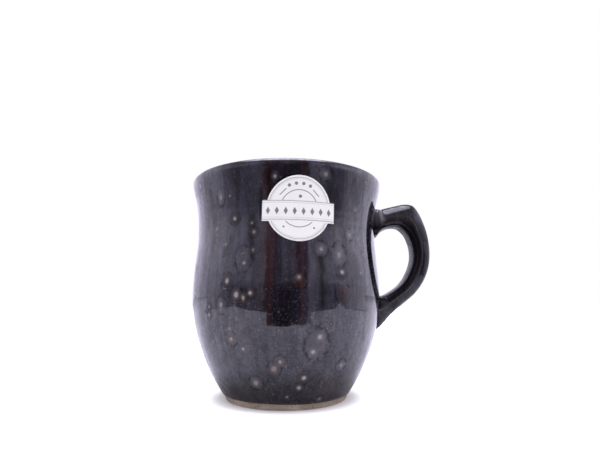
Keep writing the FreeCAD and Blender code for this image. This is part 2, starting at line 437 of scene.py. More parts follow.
class Graph:
    """A thin writer for shader nodes."""

    def __init__(self, tree: bpy.types.NodeTree) -> None:
        """Start from an emptied tree."""
        self.tree = tree
        tree.nodes.clear()

    def node(self, kind: str, **settings: object) -> bpy.types.Node:
        """Add a node of a kind and give it its settings.

        Args:
            kind: The node's type.
            **settings: Its properties, by name.

        Returns:
            The new node.
        """
        made = self.tree.nodes.new(kind)
        for key, value in settings.items():
            setattr(made, key, value)
        return made

    def put(self, target: Socket, value: object) -> None:
        """Link a socket to an input, or set the input's own value.

        Args:
            target: The input.
            value: A socket, a number, a vector or a colour.
        """
        if isinstance(value, bpy.types.NodeSocket):
            self.tree.links.new(value, target)
        elif isinstance(value, tuple) and len(value) == 3 and target.type == "RGBA":
            target.default_value = (*value, 1.0)
        else:
            target.default_value = value

    def fed(self, kind: str, *values: object, **settings: object) -> bpy.types.Node:
        """Add a node of a kind and fill its inputs in order.

        Args:
            kind: The node's type.
            *values: What its inputs take, in order.
            **settings: Its properties, by name.

        Returns:
            The new node.
        """
        made = self.node(kind, **settings)
        for target, value in zip(made.inputs, values):
            self.put(target, value)
        return made

    def fill(self, made: bpy.types.Node, **values: object) -> bpy.types.Node:
        """Fill a node's inputs by name, with spaces written as underscores.

        Args:
            made: The node.
            **values: What its inputs take, by name.

        Returns:
            The same node.
        """
        for key, value in values.items():
            self.put(made.inputs[key.replace("_", " ")], value)
        return made

    def math(self, how: str, a: object, b: object = 0.0, c: object = 0.0) -> Socket:
        """Work out one number from up to three."""
        return self.fed("ShaderNodeMath", a, b, c, operation=how).outputs[0]

    def times(self, a: object, b: object) -> Socket:
        """Multiply two numbers."""
        return self.math("MULTIPLY", a, b)

    def line(self, value: object, slope: object, start: object) -> Socket:
        """Scale a value by a slope and add a start."""
        return self.math("MULTIPLY_ADD", value, slope, start)

    def most(self, a: object, b: object) -> Socket:
        """The larger of two numbers."""
        return self.math("MAXIMUM", a, b)

    def split(self, value: Socket, parts: str = "XYZ") -> Sequence[Socket]:
        """Take a vector or a colour apart."""
        return self.fed(f"ShaderNodeSeparate{parts}", value).outputs

    def join(self, *values: object) -> Socket:
        """Put a vector together from its numbers."""
        return self.fed("ShaderNodeCombineXYZ", *values).outputs[0]

    def blend(self, share: Socket, a: bpy.types.Node, b: bpy.types.Node) -> bpy.types.Node:
        """Mix two surfaces or two backgrounds by a share."""
        return self.fed("ShaderNodeMixShader", share, a.outputs[0], b.outputs[0])

    def held(self, name: str, output: str = "Fac") -> Socket:
        """Read what the mesh holds at each vertex."""
        return self.node("ShaderNodeAttribute", attribute_name=name).outputs[output]

    def vector(self, how: str, a: object, b: object = (0.0, 0.0, 0.0)) -> bpy.types.Node:
        """Work out one vector or length from two vectors."""
        return self.fed("ShaderNodeVectorMath", a, b, operation=how)

    def step(self, value: object, low: float, high: float) -> Socket:
        """Ease a value from 0 at low to 1 at high, either way round.

        Args:
            value: The value to place.
            low: The value that gives 0.
            high: The value that gives 1. It may be the smaller of the two.

        Returns:
            The eased share.
        """
        made = self.node("ShaderNodeMapRange", interpolation_type="SMOOTHSTEP")
        start, end = (1.0, 0.0) if low > high else (0.0, 1.0)
        low, high = sorted((low, high))
        self.fill(made, Value=value, From_Min=low, From_Max=high, To_Min=start, To_Max=end)
        return made.outputs["Result"]

    def mix(self, share: object, a: object, b: object, how: str = "MIX") -> Socket:
        """Mix two colours by a share.

        Args:
            share: How much of the second colour there is.
            a: The first colour.
            b: The second colour.
            how: The way they blend.

        Returns:
            The colour.
        """
        made = self.node("ShaderNodeMix", data_type="RGBA", blend_type=how, clamp_factor=True)
        self.put(made.inputs[0], share)
        self.put(made.inputs[6], a)
        self.put(made.inputs[7], b)
        return made.outputs[2]

    def noise(self, place: object, scale: object, detail: float = 2.0, rough: float = 0.5,
              twist: float = 0.0) -> Socket:
        """Soft noise from 0 to 1 at a place.

        Args:
            place: Where to read it.
            scale: How fine it is.
            detail: How many finer layers it has.
            rough: How strong those are.
            twist: How far it is pulled about.

        Returns:
            The noise.
        """
        made = self.node("ShaderNodeTexNoise")
        self.fill(made, Vector=place, Scale=scale, Detail=detail, Roughness=rough)
        return self.fill(made, Distortion=twist).outputs[0]

    def cells(self, place: object, scale: object) -> bpy.types.Node:
        """Scattered cells, with the distance to the nearest middle."""
        return self.fill(self.node("ShaderNodeTexVoronoi"), Vector=place, Scale=scale)

    def streaks(self, place: object, scales: Pair, detail: float, rough: float,
                twist: float = 0.0) -> Socket:
        """Soft noise with one scale across the wall and another one up it.

        Args:
            place: Where to read it.
            scales: How fine it is across and up.
            detail: How many finer layers it has.
            rough: How strong those are.
            twist: How far it is pulled about.

        Returns:
            The noise.
        """
        made = self.node("ShaderNodeMapping")
        self.fill(made, Vector=place, Scale=(scales[0], *scales))
        return self.noise(made.outputs[0], 1.0, detail, rough, twist)

    def bump(self, height: object, strength: float, distance: float) -> Socket:
        """Turn a height into a surface normal."""
        made = self.node("ShaderNodeBump")
        return self.fill(made, Height=height, Strength=strength, Distance=distance).outputs[0]

    def object_place(self) -> Socket:
        """The place on the piece, in metres."""
        return self.node("ShaderNodeTexCoord").outputs["Object"]

    def use(self, group: bpy.types.NodeTree, **values: object) -> dict[str, Socket]:
        """Place a node group and give it its values.

        Args:
            group: The group.
            **values: Its inputs by name, with spaces written as underscores.

        Returns:
            The group's outputs by name.
        """
        made = self.fill(self.node("ShaderNodeGroup", node_tree=group), **values)
        return {socket.name: socket for socket in made.outputs}


class Effect:
    """A shared surface effect, kept as one node group with named inputs and outputs."""

    def __init__(self, name: str, inputs: dict[str, object], outputs: dict[str, str]) -> None:
        """Open a group.

        Args:
            name: The group's name.
            inputs: Each input's name and its default, a number or a vector.
            outputs: Each output's name and its socket type.
        """
        self.group = bpy.data.node_groups.new(name, "ShaderNodeTree")
        for key, default in inputs.items():
            kind = "NodeSocketFloat" if isinstance(default, float) else "NodeSocketVector"
            made = self.group.interface.new_socket(key, in_out="INPUT", socket_type=kind)
            made.default_value = default
        for key, kind in outputs.items():
            self.group.interface.new_socket(key, in_out="OUTPUT", socket_type=kind)
        self.graph = Graph(self.group)
        self.inlet = self.graph.node("NodeGroupInput").outputs
        self.outlet = self.graph.node("NodeGroupOutput").inputs

    def give(self, **results: Socket) -> bpy.types.NodeTree:
        """Link the results to the outputs and hand over the group.

        Args:
            **results: The outputs by name, with spaces written as underscores.

        Returns:
            The finished group.
        """
        for key, value in results.items():
            self.graph.put(self.outlet[key.replace("_", " ")], value)
        return self.group


FLOAT = "NodeSocketFloat"


def mark_effect() -> bpy.types.NodeTree:
    """A healed bubble: dot, moat, thin rim, milky drop, brown drop and height.

    Returns:
        The node group. Its Mark input is the place in dot radii, with the drop's size as its
        third part, and Tone says how the bubble healed.
    """
    effect = Effect(
        "healed_bubble", {"Mark": (0.0, 0.0, 0.0), "Tone": 0.0, "Place": (0.0, 0.0, 0.0)},
        {"Dot": FLOAT, "Halo": FLOAT, "Moat": FLOAT, "Rim": FLOAT, "Milk": FLOAT,
         "Brown": FLOAT, "Height": FLOAT},
    )
    g = effect.graph
    across, up, drop_size = g.split(effect.inlet["Mark"])
    rough = g.noise(effect.inlet["Place"], 480.0, 2.0)
    wobble = g.math("SUBTRACT", rough, 0.5)
    reach = g.vector("LENGTH", g.join(across, up)).outputs["Value"]
    reach = g.times(reach, g.line(wobble, 0.75, 1.0))
    share = g.math("DIVIDE", reach, g.most(drop_size, 0.5))
    tone = effect.inlet["Tone"]
    moated = g.step(tone, 0.12, 0.3)
    milky = g.times(g.step(tone, 0.45, 0.65), g.step(tone, 0.95, 0.8))
    brown = g.step(tone, 0.82, 0.96)
    patchy = g.line(g.noise(effect.inlet["Place"], 75.0, 1.0), 1.5, -0.15)
    dot = g.times(g.step(reach, 0.95, 0.30), g.math("MINIMUM", patchy, 1.0))
    ring = g.times(g.step(reach, 0.7, 1.35), g.step(share, 0.98, 0.45))
    rim = g.times(g.step(share, 0.74, 0.93), g.step(share, 1.12, 0.96))
    rim = g.times(rim, g.step(rough, 0.38, 0.60))
    drop = g.step(share, 1.02, 0.35)
    clear = g.math("SUBTRACT", 1.0, g.most(milky, brown))
    dip = g.times(g.step(reach, 1.3, 0.0), -0.6)
    return effect.give(
        Dot=dot,
        Halo=g.step(reach, 2.3, 0.3),
        Moat=g.times(g.times(ring, moated), clear),
        Rim=g.times(rim, moated),
        Milk=g.times(drop, milky),
        Brown=g.times(drop, brown),
        Height=g.math("ADD", dip, g.times(rim, -0.5)),
    )


def streak_effect() -> bpy.types.NodeTree:
    """Fine streams of glaze that run down the wall, and the milky speckle between them.

    Returns:
        The node group.
    """
    effect = Effect(
        "glaze_streams", {"Place": (0.0, 0.0, 0.0), "Speckle": 1.0},
        {"Streams": FLOAT, "Cloud": FLOAT, "Speckle": FLOAT, "Grit": FLOAT, "Height": FLOAT},
    )
    g = effect.graph
    place = effect.inlet["Place"]
    thin = g.streaks(place, (1150.0, 60.0), 3.0, 0.65, 0.3)
    wide = g.streaks(place, (230.0, 16.0), 2.0, 0.55, 0.5)
    streams = g.math("ADD", g.times(thin, 0.5), g.times(wide, 0.5))
    cloud = g.noise(place, 62.0, 3.0, 0.55, 0.4)
    fine = g.times(g.step(g.noise(place, 1250.0, 1.0), 0.50, 0.78), 0.55)
    pins = g.cells(place, 430.0)
    chosen = g.split(pins.outputs["Color"], "Color")[0]
    coarse = g.step(pins.outputs["Distance"], 0.26, 0.10)
    coarse = g.times(coarse, g.step(chosen, 0.45, 0.85))
    settled = g.line(g.step(g.split(place)[2], 0.055, 0.030), 0.6, 0.4)
    speck = g.times(g.most(fine, coarse), settled)
    peel = g.noise(place, 330.0, 2.0, 0.5)
    return effect.give(
        Streams=g.step(streams, 0.36, 0.66),
        Cloud=g.step(cloud, 0.35, 0.68),
        Speckle=g.times(speck, effect.inlet["Speckle"]),
        Grit=g.step(g.noise(place, 820.0, 2.0, 0.6), 0.34, 0.66),
        Height=peel,
    )


def grain_effect() -> bpy.types.NodeTree:
    """Coarse stoneware: a sandy mottle, dark grog and open pores.

    Returns:
        The node group.
    """
    effect = Effect(
        "stoneware_grain", {"Place": (0.0, 0.0, 0.0), "Scale": 1.0},
        {"Mottle": FLOAT, "Grog": FLOAT, "Height": FLOAT},
    )
    g = effect.graph
    place = g.vector("SCALE", effect.inlet["Place"])
    g.put(place.inputs["Scale"], effect.inlet["Scale"])
    here = place.outputs[0]
    sand = g.noise(here, 1400.0, 4.0, 0.7)
    broad = g.noise(here, 140.0, 3.0, 0.6)
    grog = g.cells(here, 760.0)
    pick = g.noise(here, 900.0, 1.0)
    dark = g.times(g.step(grog.outputs["Distance"], 0.34, 0.16), g.step(pick, 0.52, 0.62))
    height = g.math("SUBTRACT", sand, g.times(dark, 0.6))
    mottle = g.math("ADD", g.times(sand, 0.5), g.times(broad, 0.5))
    return effect.give(Mottle=g.step(mottle, 0.32, 0.68), Grog=dark, Height=height)


# ------------------------------------------------------------------ finishes


@dataclass(frozen=True)
class Effects:
    """The shared node groups."""

    mark: bpy.types.NodeTree
    streak: bpy.types.NodeTree
    grain: bpy.types.NodeTree


def new_material(name: str) -> tuple[bpy.types.Material, Graph, bpy.types.Node]:
    """Start a material with one surface shader.

    Args:
        name: The material's name.

    Returns:
        The material, its node writer and its Principled shader.
    """
    material = bpy.data.materials.new(name)
    material.use_nodes = True
    graph = Graph(material.node_tree)
    shader = graph.node("ShaderNodeBsdfPrincipled")
    outlet = graph.node("ShaderNodeOutputMaterial")
    graph.put(outlet.inputs["Surface"], shader.outputs["BSDF"])
    return material, graph, shader


@dataclass(frozen=True)
class GlossGlaze:
    """Dark iron glaze: near black in depth, with a thin blue-grey film that ran into streams."""

    name: str
    deep: Colour = (0.0042, 0.0036, 0.0050)
    film: Colour = (0.0190, 0.0180, 0.0350)
    iron: Colour = (0.0260, 0.0105, 0.0095)
    dot: Colour = (0.460, 0.400, 0.425)
    milk: Colour = (0.036, 0.033, 0.042)
    speck: Colour = (0.082, 0.079, 0.105)
    thin: Colour = (0.090, 0.070, 0.062)
    roughness: float = 0.07
    coat: float = 0.9
    peel: float = 0.05
    underlay: float = 0.25
    speckle: float = 1.0
    base_sheen: float = 0.56
    stream_sheen: float = 0.52
    grit_sheen: float = 0.34
    dulled: float = 0.36
    marks: bool = True
    strap: bool = False

    def build(self, effects: Effects) -> bpy.types.Material:
        """Make the material.

        Args:
            effects: The shared node groups.

        Returns:
            The finished glaze.
        """
        material, g, shader = new_material(self.name)
        place = g.object_place()
        run = g.use(effects.streak, Place=place, Speckle=self.speckle)
        film = g.times(run["Streams"], g.line(run["Cloud"], 0.7, 0.3))
        colour = g.mix(film, self.deep, self.film)
        rust = g.streaks(place, (210.0, 22.0), 2.0, 0.5, 0.6)
        colour = g.mix(g.times(g.step(rust, 0.56, 0.72), 0.55), colour, self.iron)
        colour = g.mix(g.times(run["Speckle"], 0.75), colour, self.speck)
        # The thin attribute lightens the colour where glaze breaks thin over the lip and at its
        # lower edge; on the strap it lays painted highlights.
        edge = g.held("thin")
        broken = g.times(edge, g.line(run["Streams"], 0.6, 0.4))
        colour = g.mix(broken, colour, self.thin)
        line = g.held("run")
        colour = g.mix(g.times(line, 0.9), colour, (0.003, 0.0028, 0.004))
        sheen = g.line(run["Streams"], self.stream_sheen, self.base_sheen)
        sheen = g.line(run["Grit"], self.grit_sheen, sheen)
        dull = g.streaks(place, (120.0, 46.0), 3.0, 0.6, 0.4)
        sheen = g.times(sheen, g.line(g.step(dull, 0.50, 0.66), -self.dulled, 1.0))
        coat = g.times(sheen, g.line(line, -0.85, 1.0))
        height = g.times(run["Height"], 0.3)
        # On the strap the sheen attribute scales the coat to paint highlights and shade.
        if self.strap:
            coat = g.times(coat, g.held("sheen"))
        if self.marks:
            strengths = g.split(g.held(GLOW_LAYER, "Color"), "Color")
            dots: list[Socket] = []
            for layer, strength in zip(MARK_LAYERS, strengths):
                held = g.node("ShaderNodeAttribute", attribute_name=layer)
                mark = g.use(
                    effects.mark, Mark=held.outputs["Color"], Tone=held.outputs["Alpha"],
                    Place=place,
                )
                colour = g.mix(g.times(mark["Milk"], 0.75), colour, self.milk)
                colour = g.mix(g.times(mark["Brown"], 0.8), colour, self.iron)
                dark = g.most(mark["Moat"], mark["Rim"])
                brown = g.mix(mark["Moat"], (0.003, 0.0025, 0.0035), (0.016, 0.008, 0.007))
                colour = g.mix(g.times(dark, 0.8), colour, brown)
                dots.append(g.times(mark["Dot"], strength))
                dots.append(g.times(mark["Halo"], g.times(strength, 0.13)))
                coat = g.times(coat, g.line(dark, -0.72, 1.0))
                height = g.math("ADD", height, mark["Height"])
            for dot in dots:
                colour = g.mix(dot, colour, self.dot)
        g.fill(
            shader, Base_Color=colour, Roughness=g.line(run["Cloud"], 0.05, self.roughness),
            Specular_IOR_Level=self.underlay, Coat_IOR=1.6, Coat_Roughness=0.03,
            Coat_Weight=g.times(coat, self.coat), Normal=g.bump(height, self.peel, 0.0006),
        )
        return material


@dataclass(frozen=True)
class BareClay:
    """Fired stoneware without glaze, with painted shade in the foot's recess and turned grooves."""

    name: str
    pale: Colour = (0.520, 0.425, 0.365)
    dark: Colour = (0.310, 0.245, 0.205)
    grog: Colour = (0.060, 0.042, 0.034)
    # cut: the colour of the painted shade that the trim attribute lays on the recess wall and in
    # the turned grooves.
    cut: Colour = (0.110, 0.082, 0.066)
    scale: float = 1.0
    roughness: float = 0.86

    def build(self, effects: Effects) -> bpy.types.Material:
        """Make the material.

        Args:
            effects: The shared node groups.

        Returns:
            The finished clay.
        """
        material, g, shader = new_material(self.name)
        place = g.object_place()
        grain = g.use(effects.grain, Place=place, Scale=self.scale)
        turned_lines = g.streaks(place, (60.0, 1500.0), 2.0, 0.5)
        colour = g.mix(grain["Mottle"], self.dark, self.pale)
        tint = g.line(turned_lines, 0.35, 0.82)
        colour = g.mix(1.0, colour, g.join(tint, tint, tint), "MULTIPLY")
        colour = g.mix(g.times(grain["Grog"], 0.7), colour, self.grog)
        # Painted shade in the foot's recess and turned grooves, laid on by the trim attribute.
        colour = g.mix(g.held("trim"), colour, self.cut)
        g.fill(
            shader, Base_Color=colour, Roughness=g.line(grain["Mottle"], -0.08, self.roughness),
            Normal=g.bump(grain["Height"], 0.35, 0.0002),
        )
        return material


@dataclass(frozen=True)
class LabelPaper:
    """Uncoated white paper with a few plain printed rules."""

    name: str
    paper: Colour = (0.86, 0.845, 0.875)
    ink: Colour = (0.085, 0.080, 0.095)
    outer_rule: float = 11.75
    inner_rule: float = 7.15
    band_drop: float = 1.0
    band_rules: tuple[float, ...] = (3.85, -3.35)
    faint_rules: tuple[float, ...] = (3.15, -2.55)
    band_half: float = 4.0
    dash_radius: float = 8.9
    dash_turn: float = 46.0
    dash_half: float = 1.75
    lozenge_pitch: float = 3.4
    lozenge_half: Pair = (0.78, 1.45)
    # Each dot's turn in degrees from the top, its distance from the middle and its radius.
    dots: tuple[tuple[float, float, float], ...] = (
        (-25.0, 9.6, 0.62), (-8.5, 9.6, 0.62), (8.5, 9.6, 0.62), (25.0, 9.6, 0.62),
        (4.0, 4.7, 0.62), (-141.0, 9.2, 0.36), (141.0, 9.4, 0.36),
    )

    def build(self, effects: Effects) -> bpy.types.Material:
        """Make the material.

        Args:
            effects: The shared node groups.

        Returns:
            The finished paper.
        """
        material, g, shader = new_material(self.name)
        held = g.held("sheet", "Vector")
        across, up, _ = g.split(held)
        radius = g.vector("LENGTH", held).outputs["Value"]

        def rule(value: Socket, middle: float, half: float) -> Socket:
            """A thin line where a value is near its middle."""
            away = g.math("ABSOLUTE", g.math("SUBTRACT", value, middle))
            return g.step(away, half + 0.10, half - 0.06)

        level = g.math("ADD", up, self.band_drop)
        off_band = g.step(g.math("ABSOLUTE", level), self.band_half - 0.1, self.band_half + 0.1)
        on_band = g.math("SUBTRACT", 1.0, off_band)
        rings = g.times(rule(radius, self.outer_rule, 0.12), 0.75)
        rings = g.most(rings, rule(radius, self.inner_rule, 0.14))
        faint = g.times(rule(radius, self.outer_rule - 0.55, 0.08), 0.35)
        rings = g.most(rings, faint)
        ink = g.times(rings, off_band)
        rules = [(middle, 0.85) for middle in self.band_rules]
        rules += [(middle, 0.3) for middle in self.faint_rules]
        for middle, depth in rules:
            line = g.times(g.times(rule(level, middle, 0.11), on_band), depth)
            ink = g.most(ink, line)
        ink = g.most(ink, self._lozenges(g, across, level))
        ink = g.most(ink, self._dots(g, held))
        for side in (-1.0, 1.0):
            turn = math.radians(self.dash_turn) * side
            point = (math.sin(turn) * self.dash_radius, math.cos(turn) * self.dash_radius, 0.0)
            away = g.vector("SUBTRACT", held, point).outputs["Vector"]
            outward = g.vector("DOT_PRODUCT", away, (math.sin(turn), math.cos(turn), 0.0))
            along = g.vector("DOT_PRODUCT", away, (math.cos(turn), -math.sin(turn), 0.0))
            thin = g.step(g.math("ABSOLUTE", outward.outputs["Value"]), 0.24, 0.10)
            length = g.math("ABSOLUTE", along.outputs["Value"])
            short = g.step(length, self.dash_half + 0.1, self.dash_half - 0.1)
            ink = g.most(ink, g.times(thin, short))
        fibre = g.noise(held, 9.0, 3.0, 0.7)
        worn = g.times(ink, g.line(fibre, 0.35, 0.68))
        tone = g.mix(g.times(fibre, 0.10), self.paper, (0.74, 0.72, 0.76))
        g.fill(
            shader, Base_Color=g.mix(worn, tone, self.ink), Roughness=g.line(fibre, 0.15, 0.62),
            Normal=g.bump(fibre, 0.12, 0.00008),
        )
        return material

    def _lozenges(self, g: Graph, across: Socket, level: Socket) -> Socket:
        """A row of eight plain lozenges along the band.

        Args:
            g: The node writer.
            across: The place along the band.
            level: The place above the band's middle.

        Returns:
            The ink, from 0 to 1.
        """
        cell = g.math("DIVIDE", across, self.lozenge_pitch)
        part = g.math("SUBTRACT", g.math("FRACT", g.math("ADD", cell, 8.0)), 0.5)
        wide = g.math("DIVIDE", g.math("ABSOLUTE", part), self.lozenge_half[0] / self.lozenge_pitch)
        tall = g.math("DIVIDE", g.math("ABSOLUTE", level), self.lozenge_half[1])
        shape = g.step(g.math("ADD", wide, tall), 1.12, 0.94)
        inside = g.step(g.math("ABSOLUTE", cell), 4.02, 3.98)
        return g.times(shape, inside)

    def _dots(self, g: Graph, held: Socket) -> Socket:
        """Small round dots: four above the inner ring, one in it and two below.

        Args:
            g: The node writer.
            held: The place on the sheet.

        Returns:
            The ink, from 0 to 1.
        """
        ink: Optional[Socket] = None
        for turn, radius, size in self.dots:
            angle = math.radians(turn)
            point = (math.sin(angle) * radius, math.cos(angle) * radius, 0.0)
            away = g.vector("DISTANCE", held, point).outputs["Value"]
            dot = g.step(away, size + 0.12, size - 0.08)
            ink = dot if ink is None else g.most(ink, dot)
        return ink


# ------------------------------------------------------------------ the mug's pieces


FRONT_MARKS = (
    Mark(-39.8, 82.7, 0.95, 2.6, MILKY, 1.7, glow=0.5),
    Mark(-33.0, 82.5, 0.4, 1.2, PLAIN, glow=0.6),
    Mark(-30.0, 73.2, 0.85, 2.9),
    Mark(-43.9, 70.1, 0.7, 1.6, PLAIN, 1.4, glow=0.35),
    Mark(-19.3, 71.1, 0.75, 1.9, glow=0.4),
    Mark(-18.0, 67.5, 1.0, 2.5, glow=0.4),
    Mark(-35.6, 63.5, 0.9, 2.2, PLAIN, glow=0.4),
    Mark(-18.1, 60.6, 0.8, 2.0, MOATED, 1.3, glow=0.35),
    Mark(-23.4, 57.2, 0.2, 4.0, MILKY, 1.4, 0.08, glow=0.0),
    Mark(-23.7, 58.8, 0.85, 1.8, glow=0.85),
    Mark(-22.8, 55.7, 0.85, 1.8, glow=0.75),
    Mark(-32.7, 49.1, 1.15, 3.2, MOATED, 1.1, glow=0.8),
    Mark(-26.6, 43.8, 1.35, 3.4, MOATED, 1.1, 0.07, glow=0.95),
    Mark(-22.5, 42.7, 0.8, 2.6, MOATED, 1.5, glow=0.75),
    Mark(-18.7, 44.5, 0.9, 3.0, glow=0.95),
    Mark(-36.5, 40.1, 1.0, 2.8, MILKY, 1.5, glow=0.6),
    Mark(-46.3, 39.2, 0.8, 1.9, MOATED, 1.3, glow=0.45),
    Mark(-46.7, 36.4, 0.9, 2.1, MOATED, 1.3, glow=0.45),
    Mark(18.4, 61.0, 0.95, 3.4, MILKY, 1.1, 0.09, glow=0.95),
    Mark(29.2, 59.1, 1.1, 4.0, MILKY, 1.4, glow=0.6),
    Mark(30.4, 52.5, 0.95, 3.2, glow=0.9),
    Mark(6.2, 50.3, 0.85, 1.4, PLAIN, 1.2, glow=0.85),
    Mark(6.3, 48.8, 0.2, 3.3, BROWN, 1.0, 0.08, glow=0.0),
    Mark(30.6, 44.4, 0.2, 4.0, BROWN, 1.15, 0.03, glow=0.0),
    Mark(-6.2, 88.5, 0.85, 1.8, PLAIN, 1.2, glow=0.75),
    Mark(20.3, 90.1, 1.2, 3.2, MILKY, glow=0.45),
    Mark(49.3, 90.4, 0.6, 1.4, PLAIN, glow=0.35),
    Mark(42.7, 78.1, 0.8, 2.2, PLAIN, glow=0.35),
    Mark(37.6, 67.5, 0.9, 2.8, MILKY, glow=0.35),
    Mark(45.1, 52.6, 0.9, 2.4, PLAIN, glow=0.35),
    Mark(-32.0, 31.2, 1.05, 2.6, PLAIN, glow=0.4),
    Mark(-31.5, 27.5, 1.0, 3.2, BROWN, glow=0.85),
    Mark(-24.6, 24.0, 0.7, 1.8, PLAIN, glow=0.7),
    Mark(18.0, 28.5, 1.1, 2.4, PLAIN, 1.1, glow=0.9),
    Mark(16.8, 26.0, 0.2, 5.6, MILKY, 1.25, 0.06, glow=0.0),
    Mark(14.9, 23.0, 1.1, 2.4, PLAIN, glow=0.75),
    Mark(-3.6, 19.5, 1.0, 2.8, BROWN, glow=0.7),
    Mark(-7.2, 16.8, 1.5, 3.0, BROWN, 1.1, glow=0.65),
    Mark(11.2, 13.3, 1.15, 3.0, glow=0.8),
    Mark(8.6, 9.4, 1.0, 2.4, glow=0.7),
    Mark(-20.0, 11.1, 1.3, 3.4, MILKY, 0.9, glow=0.75),
    Mark(35.8, 17.2, 1.1, 2.8, MILKY, glow=0.6),
    Mark(0.7, 5.8, 0.6, 1.4, PLAIN, glow=0.55),
    Mark(26.1, 4.2, 1.0, 2.2, MILKY, 0.8, glow=0.4),
    Mark(21.0, 34.6, 0.45, 1.1, glow=0.25),
    Mark(24.0, 33.2, 0.4, 1.0, glow=0.25),
    Mark(-50.0, 66.0, 0.5, 1.2, PLAIN, 1.5, glow=0.3),
)

FRONT_RUNS = (
    Run(-18.6, 74.5, 56.0, 0.9),
    Run(18.3, 58.5, 39.0, 0.8),
    Run(-14.0, 84.0, 74.0, 0.4),
    Run(-9.5, 92.0, 80.0, 0.5),
)


@dataclass
class GlazeMarks:
    """Where the healed bubbles and the dark runs lie round the mug."""

    seed: int = 41
    back_count: int = 92
    hidden_from: float = 56.0
    clear_of_handle: float = 33.0
    heights: Pair = (5.0, 90.0)
    wall_radius: float = 41.0
    closest: float = 0.75
    back_runs: tuple[float, ...] = (72.0, 118.0, 161.0, 205.0, 243.0, 292.0)

    def spread(self) -> list[Mark]:
        """Scatter marks over the side and back, and join them to those in front.

        Returns:
            Every mark on the outside of the mug.
        """
        rng = random.Random(self.seed)
        kinds = list(MarkKind)
        marks = list(FRONT_MARKS)
        while len(marks) < len(FRONT_MARKS) + self.back_count:
            azimuth = rng.uniform(self.hidden_from, 360.0 - self.hidden_from)
            height = rng.uniform(*self.heights)
            dot = rng.uniform(0.55, 1.35)
            kind = rng.choice(kinds)
            stretch = rng.uniform(1.0, 1.5)
            size = dot * rng.uniform(2.2, 3.2)
            glow = rng.uniform(0.25, 0.85)
            if abs(azimuth - 90.0) < self.clear_of_handle:
                continue
            near = False
            for other in marks:
                turn = (azimuth - other.azimuth + 180.0) % 360.0 - 180.0
                away = math.hypot(math.radians(turn) * self.wall_radius, height - other.height)
                near = near or away < (size + other.lens) * self.closest
            if not near:
                marks.append(Mark(azimuth, height, dot, size, kind, stretch, glow=glow))
        return marks

    def runs(self) -> list[Run]:
        """The dark runs in front, with more scattered behind.

        Returns:
            Every run on the outside of the mug.
        """
        rng = random.Random(self.seed + 1)
        behind = []
        for azimuth in self.back_runs:
            top = rng.uniform(50.0, 82.0)
            behind.append(Run(azimuth, top, top - rng.uniform(10.0, 22.0)))
        return list(FRONT_RUNS) + behind


